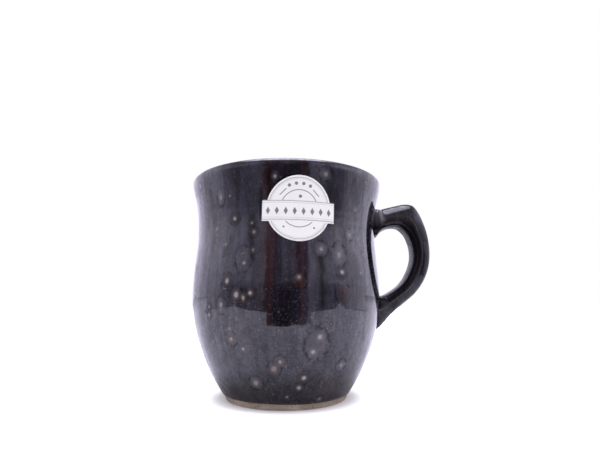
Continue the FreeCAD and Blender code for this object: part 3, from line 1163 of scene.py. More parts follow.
@dataclass
class OutsideCoat:
    """The gloss glaze on the outside, from the bare foot up and over the lip."""

    form: MugForm
    marks: GlazeMarks
    steps: int = 324
    spacing: float = 0.86
    inner_spacing: float = 5.0
    over_lip: float = 150.0
    wander_top: float = 12.0
    thin_lip: float = 0.42
    thin_edge: float = 0.8

    def profile(self) -> list[Pair]:
        """The closed outline of the coat.

        Returns:
            The outline as radius and height, in millimetres.
        """
        form = self.form
        low, high = form.glaze_line, form.lip_height
        count = round((high - low) / self.spacing)
        face = [low + (high - low) * i / count for i in range(count + 1)]
        outer = [(form.radius(z), z) for z in face]
        outer += form.lip_arc(0.0, 0.0, self.over_lip, 14)[1:]
        inner = form.lip_arc(GLAZE, self.over_lip, 0.0, 8)
        count = round((high - low) / self.inner_spacing)
        back = [high - (high - low) * i / count for i in range(count + 1)]
        inner += [(form.radius(z) - GLAZE, z + (0.2 if z == low else 0.0)) for z in back[1:]]
        edge = outer[0]
        bead = [(edge[0] - 0.30, edge[1] - 0.06), (edge[0] - 0.12, edge[1] - 0.10)]
        return outer + inner + bead

    def build(self) -> bmesh.types.BMesh:
        """Turn the coat, let its lower edge wander and lift its relief.

        Returns:
            The finished mesh with its mark, run and thin attributes.
        """
        bm = turned(self.profile(), self.steps)
        form = self.form
        for vert in bm.verts:
            azimuth, radius, height = place_of(vert.co)
            outer = form.on_glaze(radius, height) or height < form.glaze_line
            if height < self.wander_top:
                shift = form.line_height(azimuth) - form.glaze_line
                shift *= 1.0 - smoothstep(form.glaze_line + 0.6, self.wander_top, height)
                radius += form.radius(height + shift) - form.radius(height)
                height += shift
            if outer and height < form.lip_height:
                radius += form.relief(azimuth, height)
            vert.co = point_at(azimuth, radius, height)
        self._mark(bm)
        self._draw_runs(bm)
        self._thin(bm)
        bmesh.ops.recalc_face_normals(bm, faces=bm.faces)
        return bm

    def _mark(self, bm: bmesh.types.BMesh) -> None:
        """Lift each bubble's drop and write its own coordinates round it.

        Args:
            bm: The coat. It gains a layer for each set of bubbles and one for their glow.
        """
        layers = [bm.verts.layers.float_color.new(name) for name in MARK_LAYERS]
        glow_layer = bm.verts.layers.float_color.new(GLOW_LAYER)
        bm.verts.ensure_lookup_table()
        tree = kdtree.KDTree(len(bm.verts))
        for index, vert in enumerate(bm.verts):
            tree.insert(vert.co, index)
            for layer in layers:
                vert[layer] = FAR_MARK
        tree.balance()
        taken: list[list[tuple[Vector, float]]] = [[] for _ in layers]
        lifts: dict[int, float] = {}
        for mark in self.marks.spread():
            azimuth = math.radians(mark.azimuth)
            middle = self.form.skin(azimuth, mark.height)
            reach = (mark.lens * mark.stretch * 1.25 + 1.2) * MM
            choice = 0
            for index, held in enumerate(taken):
                if all((middle - point).length > reach + away for point, away in held):
                    choice = index
                    break
            else:
                LOG.warning("mark at %.1f, %.1f shares a layer", mark.azimuth, mark.height)
            taken[choice].append((middle, reach))
            for _, index, _ in tree.find_range(middle, reach):
                vert = bm.verts[index]
                turn, radius, height = place_of(vert.co)
                if not self.form.on_glaze(radius, height):
                    continue
                across = turn_from(turn, azimuth) * radius
                up = (height - mark.height) / mark.stretch
                vert[layers[choice]] = (
                    across / mark.dot, up / mark.dot, mark.lens / mark.dot, mark.kind.value,
                )
                vert[glow_layer][choice] = mark.glow
                share = math.hypot(across, up) / mark.lens
                if share < 1.0:
                    dome = (1.0 - share * share) ** 2
                    lifts[index] = max(lifts.get(index, 0.0), dome * mark.rise)
        for index, lift in lifts.items():
            co = bm.verts[index].co
            fade = 1.0 - smoothstep(86.0, 92.0, co.z / MM)
            co += Vector((co.x, co.y, 0.0)).normalized() * lift * fade * MM

    def _draw_runs(self, bm: bmesh.types.BMesh) -> None:
        """Write how strongly a dark run crosses each point of the face.

        Args:
            bm: The coat. It gains the run layer.
        """
        layer = bm.verts.layers.float.new("run")
        runs = self.marks.runs()
        for vert in bm.verts:
            turn, radius, height = place_of(vert.co)
            if not self.form.on_glaze(radius, height):
                continue
            for run in runs:
                if not run.bottom - 2.0 < height < run.top + 2.0:
                    continue
                sway = 0.9 * noise.noise(Vector((run.azimuth, 0.0, height / 5.0)))
                gap = turn_from(turn, math.radians(run.azimuth))
                away = abs(gap * radius - sway)
                ends = smoothstep(run.bottom - 2.0, run.bottom + 1.0, height)
                ends *= 1.0 - smoothstep(run.top - 1.0, run.top + 2.0, height)
                beads = 1.0 + 0.8 * noise.noise(Vector((run.azimuth, 4.0, height / 2.6)))
                value = ends * (1.0 - smoothstep(run.width * 0.4, (run.width + 0.7) * beads, away))
                vert[layer] = max(vert[layer], value)

    def _thin(self, bm: bmesh.types.BMesh) -> None:
        """Say where the glaze ran thin: over the lip's crest and at its lower edge.

        Args:
            bm: The coat. It gains the thin layer.
        """
        layer = bm.verts.layers.float.new("thin")
        for vert in bm.verts:
            azimuth, _, height = place_of(vert.co)
            crest = smoothstep(95.0, 95.9, height) * self.thin_lip
            above = height - self.form.line_height(azimuth)
            edge = (1.0 - smoothstep(0.0, 0.9, above)) * self.thin_edge
            vert[layer] = max(crest, edge)


@dataclass
class InsideCoat:
    """The glaze that lines the inside, from the lip down over the floor."""

    form: MugForm
    steps: int = 240
    spacing: float = 1.25
    back_spacing: float = 4.0
    start: float = 151.0
    ring_pitch: float = 5.2
    ring_depth: float = 0.05

    def profile(self) -> list[Pair]:
        """The closed outline of the lining.

        Returns:
            The outline as radius and height, in millimetres.
        """
        form = self.form
        lip = form.lip_arc(0.0, self.start, 180.0, 5)
        face = lip[:-1] + evenly(form.inside, self.spacing)
        back = form.behind_lining(self.back_spacing)[::-1]
        return face + back + form.lip_arc(GLAZE, 180.0, self.start, 3)

    def build(self) -> bmesh.types.BMesh:
        """Turn the lining and leave the potter's rings in it.

        Returns:
            The finished mesh.
        """
        bm = turned(self.profile(), self.steps)
        layer = bm.verts.layers.float.new("thin")
        for vert in bm.verts:
            azimuth, radius, height = place_of(vert.co)
            if 8.0 < height < 92.0:
                phase = math.tau * (height / self.ring_pitch) + azimuth
                fade = smoothstep(8.0, 16.0, height) * (1.0 - smoothstep(84.0, 92.0, height))
                radius -= (self.ring_depth + self.ring_depth * math.sin(phase)) * fade
            vert.co = point_at(azimuth, radius, height)
            vert[layer] = smoothstep(94.6, 95.6, height) * 0.35
        bmesh.ops.recalc_face_normals(bm, faces=bm.faces)
        return bm


@dataclass
class ClayBody:
    """The thrown clay under the glaze, bare at the foot and trimmed underneath."""

    form: MugForm
    steps: int = 240
    trim_pitch: float = 1.15
    trim_depth: float = 0.045
    recess_flat: float = 19.4
    recess_dish: float = 0.35
    lining_spacing: float = 3.0
    edge: float = 0.55

    def profile(self) -> list[Pair]:
        """The outline from the middle of the underside out, up, over the lip and in.

        Returns:
            The outline as radius and height, in millimetres.
        """
        form = self.form
        points = [(0.0, form.recess + self.recess_dish)]
        count = 58
        for index in range(1, count + 1):
            radius = self.recess_flat * index / count
            trim = self.trim_depth * math.sin(math.tau * radius / self.trim_pitch)
            dish = self.recess_dish * (1.0 - radius / self.recess_flat)
            points.append((radius, form.recess + dish + trim))
        points += evenly(
            ((19.7, 1.72), (20.4, 1.58), (21.2, 0.95), (21.9, 0.32), (22.7, 0.04)), 0.25
        )
        points += [(23.6, 0.0), (24.8, 0.0), (25.6, 0.0)]
        points += arc((form.foot_radius - self.edge, self.edge), self.edge, -90.0, -12.0, 5)
        heights = [0.75 + 0.22 * i for i in range(16)]
        heights += [4.6, 6.0, 8.0] + [10.0 + 3.0 * i for i in range(28)]
        for z in heights:
            lean = smoothstep(0.0, 3.0, z)
            bare = form.foot_radius + (form.radius(3.0) - GLAZE - form.foot_radius) * z / 3.0
            coated = form.radius(z) - GLAZE
            points.append((bare + (coated - bare) * lean, z))
        points += form.lip_arc(GLAZE, 0.0, 180.0, 12)
        return points + form.behind_lining(self.lining_spacing)

    def build(self) -> bmesh.types.BMesh:
        """Turn the clay and rough up the bare foot.

        Returns:
            The finished mesh, with a trim attribute that paints shade: dark on the recess's inner
            wall and fainter in the grooves the turning tool left.
        """
        bm = turned(self.profile(), self.steps)
        layer = bm.verts.layers.float.new("trim")
        for vert in bm.verts:
            azimuth, radius, height = place_of(vert.co)
            if height < 2.4 and radius < 24.5:
                # Painted shade: the trim attribute darkens the recess's sloping inner wall and each
                # turned groove.
                step = smoothstep(19.0, 20.6, radius) * (1.0 - smoothstep(21.4, 22.8, radius))
                groove_shade = 0.5 - 0.5 * math.sin(math.tau * radius / self.trim_pitch)
                vert[layer] = max(0.75 * step, 0.24 * groove_shade * (1.0 - step))
            if height < 3.4 and radius > 1.0:
                rough = noise.noise(vert.co * 900.0) * 0.05 + noise.noise(vert.co * 260.0) * 0.07
                if radius > 25.0:
                    radius += (rough - 0.06) * smoothstep(0.0, 0.8, height + 0.3)
                elif radius < 21.5:
                    height += rough * 0.8
            vert.co = point_at(azimuth, radius, height)
        bmesh.ops.recalc_face_normals(bm, faces=bm.faces)
        return bm


@dataclass
class Handle:
    """The pulled strap handle: an outer and an inner line, and a section with soft ridges."""

    form: MugForm
    outer: tuple[Pair, ...] = (
        (41.5, 84.02), (44.0, 84.33), (47.5, 85.2), (51.5, 86.2), (55.0, 86.95), (57.9, 87.02),
        (60.0, 86.4), (61.7, 84.6), (63.7, 80.8), (65.6, 75.4), (66.8, 69.5), (67.1, 64.0),
        (66.6, 58.8), (65.2, 54.0), (62.8, 49.3), (59.3, 44.9), (55.0, 41.3), (50.8, 38.0),
        (47.2, 34.8), (44.5, 31.9), (42.2, 29.6), (40.3, 28.2),
    )
    inner: tuple[Pair, ...] = (
        (41.5, 70.6), (43.7, 73.1), (46.7, 74.9), (49.8, 75.6), (52.3, 75.3), (53.9, 74.4),
        (55.3, 73.0), (56.4, 71.4), (57.3, 69.2), (58.0, 66.8), (58.35, 64.2), (58.3, 61.3),
        (57.6, 58.1), (56.3, 54.9), (54.3, 51.4), (51.7, 48.5), (49.1, 46.5), (46.8, 45.1),
        (44.9, 44.2), (43.3, 43.8), (42.2, 44.2), (41.4, 44.8),
    )
    half_width: float = 6.45
    root_flare: float = 2.0
    flare_run: float = 5.0
    rings: int = 132
    around: int = 56
    ridge: float = -0.20
    luted_run: float = 3.2
    luted_power: float = 1.9
    outer_powers: Pair = (1.5, 2.3)
    inner_powers: Pair = (3.4, 2.7)
    ridge_turn: float = 0.47
    ridge_half: float = 0.055
    # Where painted highlights go: the inner face by turn, the upper arm by height and the luted top
    # root by reach from the axis.
    inner_face: Pair = (0.66, 0.74)
    top_heights: Pair = (74.0, 82.0)
    luted_reach: Pair = (43.2, 46.0)
    # Coat strength round the section, set part by part to paint highlights and shade: added on the
    # ridge line, the inner face and the outer half, less on the side face between them.
    side_shine: float = 0.30
    ridge_shine: float = 0.5
    inner_shine: float = 0.42
    outer_shine: float = 0.28
    wall_x: float = 41.5
    sink: float = 1.0
    unevenness: float = 0.05

    def section(self, position: float, inset: float) -> list[Vector]:
        """The points of one section.

        Args:
            position: The place along the handle, in pairs from the top.
            inset: How far inside the glaze the section lies, in millimetres.

        Returns:
            The points, in millimetres.
        """
        out = Vector(through(self.outer, position))
        into = Vector(through(self.inner, position))
        middle = (out + into) / 2.0
        reach = (out - into) / 2.0
        half = reach.length - inset
        along = reach.normalized()
        off_wall = middle.x - self.wall_x
        root = 1.0 - smoothstep(0.0, self.flare_run, off_wall)
        width = self.half_width + self.root_flare * root - inset
        luted = 1.0 - smoothstep(0.3, self.luted_run, off_wall) if out.y > into.y + 10.0 else 0.0
        crown = tuple(power + self.luted_power * luted for power in self.outer_powers)
        points = []
        for index in range(self.around):
            angle = math.tau * index / self.around
            c, s = math.cos(angle), math.sin(angle)
            deep, broad = crown if c >= 0.0 else self.inner_powers
            room = half * (1.0 - self.ridge) if c >= 0.0 else half * (1.0 + self.ridge)
            thick = half * self.ridge + math.copysign(abs(c) ** (2.0 / deep), c) * room
            wide = math.copysign(abs(s) ** (2.0 / broad), s) * width
            points.append(Vector((middle.x + along.x * thick, wide, middle.y + along.y * thick)))
        return points

    def sunk(self, points: list[Vector]) -> list[Vector]:
        """Move a section's points along X until they lie inside the wall.

        Args:
            points: The section's points, in millimetres.

        Returns:
            The moved points.
        """
        moved = []
        for point in points:
            wall = math.sqrt(max(self.form.radius(point.z) ** 2 - point.y ** 2, 0.0))
            moved.append(Vector((min(point.x, wall - self.sink), point.y, point.z)))
        return moved

    def build(self, inset: float, thickness: float) -> bmesh.types.BMesh:
        """Extrude the section along the handle.

        Args:
            inset: How far inside the glaze the surface lies, in millimetres.
            thickness: The thickness of the shell, or 0 for a solid.

        Returns:
            The finished mesh with its thin attribute.
        """
        bm = bmesh.new()
        turns = bm.verts.layers.float.new("turn")
        start = bmesh.ops.create_circle(bm, cap_ends=False, segments=self.around, radius=1.0)
        ring = start["verts"]
        last = len(self.outer) - 1
        sections = [self.section(last * k / self.rings, inset) for k in range(self.rings + 1)]
        sections.insert(0, self.sunk(sections[0]))
        sections.append(self.sunk(sections[-1]))
        self._seat(ring, sections[0], turns)
        for points in sections[1:]:
            made = bmesh.ops.extrude_edge_only(bm, edges=self._ring_edges(ring))
            fresh = [item for item in made["geom"] if isinstance(item, bmesh.types.BMVert)]
            partner = {}
            for vert in fresh:
                for edge in vert.link_edges:
                    other = edge.other_vert(vert)
                    if other not in fresh:
                        partner[other] = vert
            ring = [partner[vert] for vert in ring]
            self._seat(ring, points, turns)
        ends = [edge for edge in bm.edges if edge.is_boundary]
        if thickness <= 0.0:
            bmesh.ops.holes_fill(bm, edges=ends, sides=0)
        bmesh.ops.recalc_face_normals(bm, faces=bm.faces)
        self._face_out(bm)
        self._dress(bm)
        if thickness > 0.0:
            bmesh.ops.solidify(bm, geom=bm.faces[:], thickness=thickness * MM)
        return bm

    def _dress(self, bm: bmesh.types.BMesh) -> None:
        """Paint highlights and shade round the strap, partly where its glaze runs thin.

        Args:
            bm: The tube, with each vertex's turn round the section. It gains the thin
            attribute, a lighter colour as painted highlight, and the sheen attribute, the
            coat's strength as painted highlight and shade.
        """
        turns = bm.verts.layers.float["turn"]
        thin = bm.verts.layers.float.new("thin")
        sheen = bm.verts.layers.float.new("sheen")
        for vert in bm.verts:
            turn = vert[turns]
            ridge = max(1.0 - abs(turn - self.ridge_turn) / self.ridge_half, 0.0)
            inner = smoothstep(*self.inner_face, turn)
            outer = 1.0 - smoothstep(self.ridge_turn - 0.08, self.ridge_turn, turn)
            top = smoothstep(*self.top_heights, vert.co.z / MM)
            side = top * (1.0 - inner) * (1.0 - outer)
            luted = top * (1.0 - smoothstep(*self.luted_reach, vert.co.x / MM))
            highlight_coat = self.side_shine + self.ridge_shine * ridge
            highlight_coat += self.inner_shine * inner + self.outer_shine * outer
            # thin: a painted highlight line along the ridge (partly glaze thin over the arris), a
            # painted highlight on the upper arm's side face, and one at the luted top root (partly
            # thinner glaze at the joint).
            vert[thin] = max(0.55 * ridge * (1.0 - 0.6 * top), 0.4 * side, 0.95 * luted)
            # sheen: the coat is raised on the top, the side face and the luted root to paint
            # highlights there.
            vert[sheen] = min(highlight_coat + 0.5 * top * outer + 0.6 * max(side, luted), 1.0)

    @staticmethod
    def _ring_edges(ring: list[bmesh.types.BMVert]) -> list[bmesh.types.BMEdge]:
        """The edges between neighbours of a ring.

        Args:
            ring: The vertices of the ring, in order.

        Returns:
            The edges that close the ring.
        """
        edges = []
        for index, vert in enumerate(ring):
            other = ring[index - 1]
            edges += [edge for edge in vert.link_edges if edge.other_vert(vert) == other]
        return edges

    def _seat(
        self, ring: list[bmesh.types.BMVert], points: list[Vector],
        turns: bmesh.types.BMLayerItem,
    ) -> None:
        """Put a ring on a section, a little uneven as a pulled strap is.

        Args:
            ring: The vertices of the ring, in order.
            points: The section's points, in millimetres.
            turns: The layer that takes each one's turn from the outer line: 0 out, 1 in.
        """
        for index, (vert, point) in enumerate(zip(ring, points)):
            hand = Vector((point.x / 14.0, point.y / 14.0, point.z / 14.0))
            sway = Vector((noise.noise(hand), 0.0, noise.noise(hand * 1.3)))
            vert.co = (point + self.unevenness * sway) * MM
            turn = index / self.around
            vert[turns] = 2.0 * min(turn, 1.0 - turn)

    @staticmethod
    def _face_out(bm: bmesh.types.BMesh) -> None:
        """Turn every face over if the tube's faces point inwards.

        Args:
            bm: The tube. It is changed in place.
        """
        far = max(bm.faces, key=lambda face: face.calc_center_median().x)
        if far.normal.x < 0.0:
            bmesh.ops.reverse_faces(bm, faces=bm.faces)


@dataclass
class Label:
    """The paper label: a disc and a band cut from one sheet, stuck on the wall."""

    form: MugForm
    radius: float = 12.6
    band_length: float = 28.4
    band_height: float = 8.0
    band_drop: float = 1.0
    height: float = 76.4
    azimuth: float = 6.5
    tilt: float = 1.0
    thickness: float = 0.16
    gap: float = 0.03
    cut: float = 1.1

    def outline(self) -> list[Pair]:
        """The outline of the sheet, anticlockwise from the right end of the band.

        Returns:
            The outline as places across and up, in millimetres.
        """
        reach = self.band_length / 2.0
        top = self.band_height / 2.0 - self.band_drop
        base = -self.band_height / 2.0 - self.band_drop
        upper = math.degrees(math.asin(top / self.radius))
        lower = math.degrees(math.asin(base / self.radius))
        points = [(reach, base), (reach, top)]
        points += arc((0.0, 0.0), self.radius, upper, 180.0 - upper, 46)
        points += [(-reach, top), (-reach, base)]
        points += arc((0.0, 0.0), self.radius, 180.0 - lower, 360.0 + lower, 42)
        return points

    def build(self) -> bmesh.types.BMesh:
        """Cut the sheet, give it its thickness and bend it on to the wall.

        Returns:
            The finished mesh with its sheet attribute.
        """
        bm = bmesh.new()
        face = bm.faces.new([bm.verts.new((x, z, 0.0)) for x, z in self.outline()])
        face.normal_update()
        reach = self.band_length / 2.0
        for normal in (Vector((1, 0, 0)), Vector((0, 1, 0))):
            offset = -reach + self.cut / 2.0
            while offset < reach:
                geom = bm.verts[:] + bm.edges[:] + bm.faces[:]
                bmesh.ops.bisect_plane(bm, geom=geom, plane_co=normal * offset, plane_no=normal)
                offset += self.cut
        bmesh.ops.remove_doubles(bm, verts=bm.verts, dist=1e-4)
        made = bmesh.ops.extrude_face_region(bm, geom=bm.faces[:])
        top = [item for item in made["geom"] if isinstance(item, bmesh.types.BMVert)]
        bmesh.ops.translate(bm, verts=top, vec=(0.0, 0.0, self.thickness))
        bmesh.ops.recalc_face_normals(bm, faces=bm.faces)
        layer = bm.verts.layers.float_vector.new("sheet")
        turn = math.radians(self.tilt)
        for vert in bm.verts:
            s, t, lift = vert.co
            vert[layer] = (s, t, 0.0)
            across = s * math.cos(turn) + t * math.sin(turn)
            up = t * math.cos(turn) - s * math.sin(turn)
            height = self.height + up
            azimuth = math.radians(self.azimuth) + across / self.form.radius(height)
            edge = smoothstep(10.0, 14.2, math.hypot(s, t * 0.6))
            curl = 0.05 * edge * (0.5 + noise.noise(Vector((s * 0.2, t * 0.2, 3.0))))
            vert.co = self.form.skin(azimuth, height, self.gap + lift + curl)
        bmesh.ops.recalc_face_normals(bm, faces=bm.faces)
        return bm


@dataclass
class CeramicMug:
    """The whole mug: its finishes and its pieces."""

    form: MugForm
    marks: GlazeMarks

    def build(self) -> None:
        """Build and dress every piece."""
        effects = Effects(mark_effect(), streak_effect(), grain_effect())
        glaze = GlossGlaze("dark_gloss_glaze").build(effects)
        # The strap's glaze is a darker copy of the body's glaze, painted shade, brightened by the
        # handle's painted highlights in its thin and sheen attributes.
        strap = GlossGlaze(
            "dark_gloss_glaze_strap", film=(0.0075, 0.0068, 0.0110), iron=(0.0085, 0.0062, 0.0066),
            thin=(0.088, 0.080, 0.088), speck=(0.045, 0.040, 0.048), underlay=0.0, speckle=0.6,
            marks=False, strap=True,
        ).build(effects)
        liner = GlossGlaze(
            "liner_gloss_glaze", deep=(0.009, 0.009, 0.013), film=(0.026, 0.027, 0.040),
            marks=False,
        ).build(effects)
        clay = BareClay("bare_stoneware").build(effects)
        slip = BareClay("luting_slip", pale=(0.27, 0.215, 0.178), scale=1.6).build(effects)
        paper = LabelPaper("label_paper").build(effects)
        handle = Handle(self.form)
        pieces = (
            ("clay_body_turned", ClayBody(self.form).build(), clay, "bare_stoneware", "clay_body"),
            ("outside_coat", OutsideCoat(self.form, self.marks).build(), glaze,
             "dark_gloss_glaze", "outside_glaze"),
            ("inside_coat", InsideCoat(self.form).build(), liner, "liner_glaze", "inside_glaze"),
            ("paper_label_cut", Label(self.form).build(), paper, "label_paper", "paper_label"),
            ("handle_coat", handle.build(0.0, GLAZE), strap, "dark_gloss_glaze", "handle_glaze"),
            ("handle_clay", handle.build(GLAZE, 0.0), clay, "bare_stoneware", "handle"),
        )
        for name, shape, material, slot, node in pieces:
            piece = finish_piece(shape, name, material, [node])
            LOG.info("%s: %d faces", name, len(piece.data.polygons))
        for name in ("upper_slip_joint", "lower_slip_joint"):
            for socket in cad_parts[name].material_slots:
                socket.material = slip
            LOG.info("%s: dressed", name)


# ------------------------------------------------------------------ the studio


@dataclass
class Studio:
    """A white sheet to stand on, soft white light from all round, and the camera."""

    eye: Point = (0.0, -0.20247, 0.04219)
    tilt: float = 9.737
    yaw: float = -1.746
    lens: float = 26.0
    sheet_half: float = 2.2
    card_front: float = -0.160
    card_lip: float = 0.009
    card_half: float = 0.26
    wedge_tip: float = -0.106
    wedge_left: Pair = (0.42, 0.039)
    wedge_right: Pair = (0.56, 0.047)
    card_white: Colour = (0.88, 0.87, 0.90)
    card_mirrored: Colour = (0.80, 0.76, 0.96)
    # card_shaded and card_edge_shadow: painted shade round the foot and a painted shadow line along
    # the card's cut edge, seen in reflections.
    card_shaded: Colour = (0.42, 0.38, 0.42)
    card_edge_shadow: Colour = (0.10, 0.10, 0.12)
    card_glow: Colour = (1.0, 0.97, 1.08)
    fill: float = 0.56
    wall_waver: float = 0.16
    wall_tint: Colour = (1.14, 1.10, 1.26)
    ceiling: Colour = (0.44, 0.43, 0.50)
    overhead: Colour = (4.7, 4.6, 5.1)
    lamps: tuple[tuple[str, Point, float, float], ...] = (
        ("lamp_right", (0.55, -0.40, 1.00), 4.7, 0.7),
        ("lamp_left", (-0.55, -0.35, 0.95), 3.5, 0.7),
        ("lamp_top", (0.0, 0.20, 1.15), 6.8, 0.9),
    )
    lamp_aim: Point = (0.0, 0.0, 0.045)
    low_walls: tuple[tuple[float, Colour], ...] = (
        (-180, (0.92, 0.90, 1.00)), (-150, (0.90, 0.88, 0.98)), (-120, (0.80, 0.78, 0.88)),
        (-88, (0.78, 0.76, 0.86)), (-76, (0.52, 0.50, 0.59)), (-60, (0.30, 0.29, 0.35)),
        (-31, (0.35, 0.34, 0.40)), (-27, (0.34, 0.31, 0.36)), (-25.5, (0.20, 0.085, 0.08)),
        (-18, (0.15, 0.06, 0.055)), (-15, (0.03, 0.02, 0.03)), (14, (0.03, 0.02, 0.03)),
        (16, (0.21, 0.085, 0.075)), (20, (0.21, 0.085, 0.075)), (24, (0.12, 0.08, 0.10)),
        (26.5, (0.44, 0.42, 0.48)), (40, (0.44, 0.43, 0.50)), (50, (0.22, 0.21, 0.26)),
        (66, (0.24, 0.23, 0.28)),
        (80, (0.80, 0.78, 0.88)), (110, (0.98, 0.96, 1.06)), (150, (0.92, 0.90, 1.00)),
        (180, (0.92, 0.90, 1.00)),
    )
    high_walls: tuple[tuple[float, Colour], ...] = (
        (-180, (1.00, 0.98, 1.05)), (-125, (0.86, 0.84, 0.94)), (-95, (1.10, 1.08, 1.18)),
        (-72, (0.95, 0.93, 1.03)), (-58, (0.66, 0.65, 0.74)), (-44, (0.72, 0.70, 0.80)),
        (-27, (0.52, 0.49, 0.56)), (-25, (0.24, 0.12, 0.12)), (-16, (0.19, 0.085, 0.085)),
        (-13, (0.13, 0.09, 0.12)), (-9, (0.16, 0.14, 0.17)), (-6, (0.28, 0.26, 0.30)),
        (7, (0.27, 0.25, 0.29)), (10, (0.24, 0.10, 0.09)), (19, (0.21, 0.085, 0.075)),
        (24, (0.12, 0.09, 0.11)), (26.5, (0.66, 0.62, 0.70)), (50, (0.64, 0.62, 0.71)),
        (64, (1.05, 1.03, 1.14)), (86, (1.35, 1.32, 1.44)), (108, (1.28, 1.25, 1.36)),
        (125, (0.98, 0.96, 1.05)), (180, (1.00, 0.98, 1.05)),
    )

    def build(self) -> None:
        """Set up the camera, the sheet, the world and the lamps."""
        self._camera()
        self._sheet()
        self._world()
        self._lamps()
        bpy.context.scene.view_settings.view_transform = "Standard"

    def _camera(self) -> None:
        """Make the scene's camera."""
        data = bpy.data.cameras.new("camera")
        data.lens = self.lens
        data.sensor_width = 36.0
        data.clip_start = 0.01
        camera = bpy.data.objects.new("camera", data)
        camera.location = self.eye
        camera.rotation_euler = (math.radians(90.0 + self.tilt), 0.0, math.radians(self.yaw))
        bpy.context.scene.collection.objects.link(camera)
        bpy.context.scene.camera = camera

    def _sheet(self) -> None:
        """Lay the white sheet under the mug."""
        bm = bmesh.new()
        bmesh.ops.create_grid(bm, x_segments=8, y_segments=8, size=1.0)
        bmesh.ops.scale(bm, verts=bm.verts, vec=(self.sheet_half, self.sheet_half, 1.0))
        mesh = bpy.data.meshes.new("white_sheet")
        bm.to_mesh(mesh)
        bm.free()
        sheet = bpy.data.objects.new("white_sheet", mesh)
        bpy.context.scene.collection.objects.link(sheet)
        mesh.materials.append(self._sheet_finish())

    def _sheet_finish(self) -> bpy.types.Material:
        """White card that reads as white beyond the mug's soft shadow, painted darker round the
        foot.

        Returns:
            The card's material. In reflections it ends at the card's cut edge, drawn as a
            dark painted shadow line, and leaves out the wedge that the studio's open side takes.
        """
        material, g, shader = new_material("white_card")
        path = g.node("ShaderNodeLightPath").outputs
        mirror = path["Is Glossy Ray"]
        place = g.object_place()
        x, y, _ = g.split(place)
        away = g.vector("LENGTH", place).outputs["Value"]
        bow = g.math("SUBTRACT", g.noise(place, 34.0, 1.0), 0.5)
        bowed = g.line(bow, 0.016, y)
        past = g.math("SUBTRACT", self.wedge_tip, bowed)
        left = g.math("ADD", x, g.line(past, *self.wedge_left))
        right = g.math("SUBTRACT", g.line(past, *self.wedge_right), x)
        wedge = g.times(g.step(left, 0.0, 0.004), g.step(right, 0.0, 0.004))
        wedge = g.times(wedge, g.step(past, 0.0, 0.005))
        front = self.card_front - self.card_lip
        beyond = g.step(bowed, front, front - 0.003)
        near = g.step(y, 0.14, 0.0)
        wide = g.line(g.times(bow, near), 0.03, x)
        behind = g.most(g.math("ADD", y, -0.08), 0.0)
        wide = g.line(behind, -5.0, g.math("ABSOLUTE", wide))
        side = self.card_half + 2.0 * self.card_lip
        aside = g.step(wide, side, side + 0.003)
        off = g.times(g.most(wedge, g.most(beyond, aside)), mirror)
        lip = g.step(bowed, self.card_front, self.card_front - 0.002)
        side_lip = g.step(wide, self.card_half, self.card_half + 0.002)
        lip = g.most(lip, g.times(side_lip, g.times(near, 0.7)))
        # Painted shade in reflections: darker round the foot, and a dark painted shadow line along
        # the cut edge.
        dim = g.mix(g.step(away, 0.028, 0.050), self.card_shaded, self.card_mirrored)
        dim = g.mix(lip, dim, self.card_edge_shadow)
        # The camera sees the card lifted to white by a glow that grows away from the mug's axis,
        # which paints the floor darker round the foot, over its real shadow.
        white = g.line(g.step(away, 0.0265, 0.037), 0.62, 0.10)
        white = g.math("ADD", white, g.step(away, 0.12, 0.40))
        # The glow the card gives in reflections is left out round the foot and on its edge line:
        # painted shade.
        mirrored = g.times(g.step(away, 0.028, 0.055), g.step(lip, 0.5, 0.1))
        mirrored = g.times(mirror, g.times(mirrored, 0.17))
        lift = g.math("ADD", g.times(path["Is Camera Ray"], white), mirrored)
        glow = g.join(*(g.times(lift, share) for share in self.card_glow))
        g.fill(
            shader, Base_Color=g.mix(mirror, self.card_white, dim), Roughness=0.9,
            Specular_IOR_Level=0.0, Emission_Color=glow, Emission_Strength=1.0,
        )
        card = g.blend(off, shader, g.node("ShaderNodeBsdfTransparent"))
        outlet = next(node for node in g.tree.nodes if node.type == "OUTPUT_MATERIAL")
        g.put(outlet.inputs["Surface"], card.outputs[0])
        return material

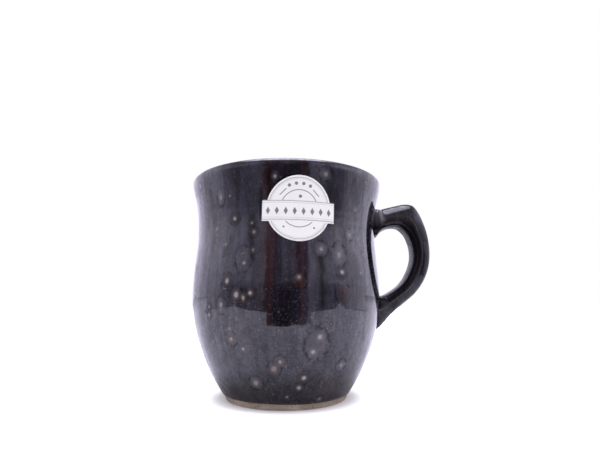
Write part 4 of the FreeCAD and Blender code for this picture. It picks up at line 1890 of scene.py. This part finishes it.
    def _world(self) -> None:
        """White all round, with the studio's walls and its open camera side in reflections."""
        world = bpy.data.worlds.new("white_studio")
        bpy.context.scene.world = world
        world.use_nodes = True
        g = Graph(world.node_tree)
        path = g.node("ShaderNodeLightPath").outputs
        place = g.node("ShaderNodeTexCoord").outputs["Generated"]
        x, y, z = g.split(place)
        turn = g.math("ARCTAN2", x, g.times(y, -1.0))
        waver = g.math("SUBTRACT", g.noise(place, 7.0, 2.0), 0.5)
        share = g.line(g.line(waver, self.wall_waver, turn), 0.5 / math.pi, 0.5)
        low = self._ramp(g, share, self.low_walls)
        high = self._ramp(g, share, self.high_walls)
        walls = g.mix(g.step(z, 0.04, 0.20), low, high)
        walls = g.mix(g.step(z, 0.35, 0.80), walls, self.ceiling)
        walls = g.mix(g.step(z, 0.84, 0.97), walls, self.overhead)
        walls = g.mix(1.0, walls, self.wall_tint, "MULTIPLY")
        shades = (((1.0, 1.0, 1.0), 1.0), (walls, 1.0), ((0.98, 0.98, 1.0), self.fill))
        white, mirrored, soft = (g.fed("ShaderNodeBackground", *shade) for shade in shades)
        seen = g.most(path["Is Camera Ray"], path["Is Transmission Ray"])
        lit = g.blend(path["Is Glossy Ray"], soft, mirrored)
        g.fed("ShaderNodeOutputWorld", g.blend(seen, lit, white).outputs[0])

    @staticmethod
    def _ramp(g: Graph, share: Socket, stops: Sequence[tuple[float, Colour]]) -> Socket:
        """A colour by azimuth, in degrees from -Y towards +X.

        Args:
            g: The node writer.
            share: The azimuth as a share of the full turn, from 0 at -180.
            stops: The azimuths with their colours.

        Returns:
            The colour.
        """
        ramp = g.node("ShaderNodeValToRGB")
        g.put(ramp.inputs[0], share)
        elements = ramp.color_ramp.elements
        elements[0].color = (*stops[0][1], 1.0)
        elements[1].color = (*stops[-1][1], 1.0)
        for azimuth, colour in stops[1:-1]:
            element = elements.new(azimuth / 360.0 + 0.5)
            element.color = (*colour, 1.0)
        return ramp.outputs[0]

    def _lamps(self) -> None:
        """Three wide soft lamps: one above each side of the camera and one over the mug."""
        for name, where, power, size in self.lamps:
            data = bpy.data.lights.new(name, "AREA")
            data.energy = power
            data.shape = "SQUARE"
            data.size = size
            lamp = bpy.data.objects.new(name, data)
            lamp.location = where
            lamp.visible_glossy = False
            aim = Vector(self.lamp_aim) - Vector(where)
            lamp.rotation_euler = aim.to_track_quat("-Z", "Y").to_euler()
            bpy.context.scene.collection.objects.link(lamp)


def main() -> None:
    """Build the studio and the mug."""
    logging.basicConfig(level=logging.INFO, format="%(name)s %(message)s")
    Studio().build()
    CeramicMug(MugForm(), GlazeMarks()).build()


if __name__ == "__main__":
    main()
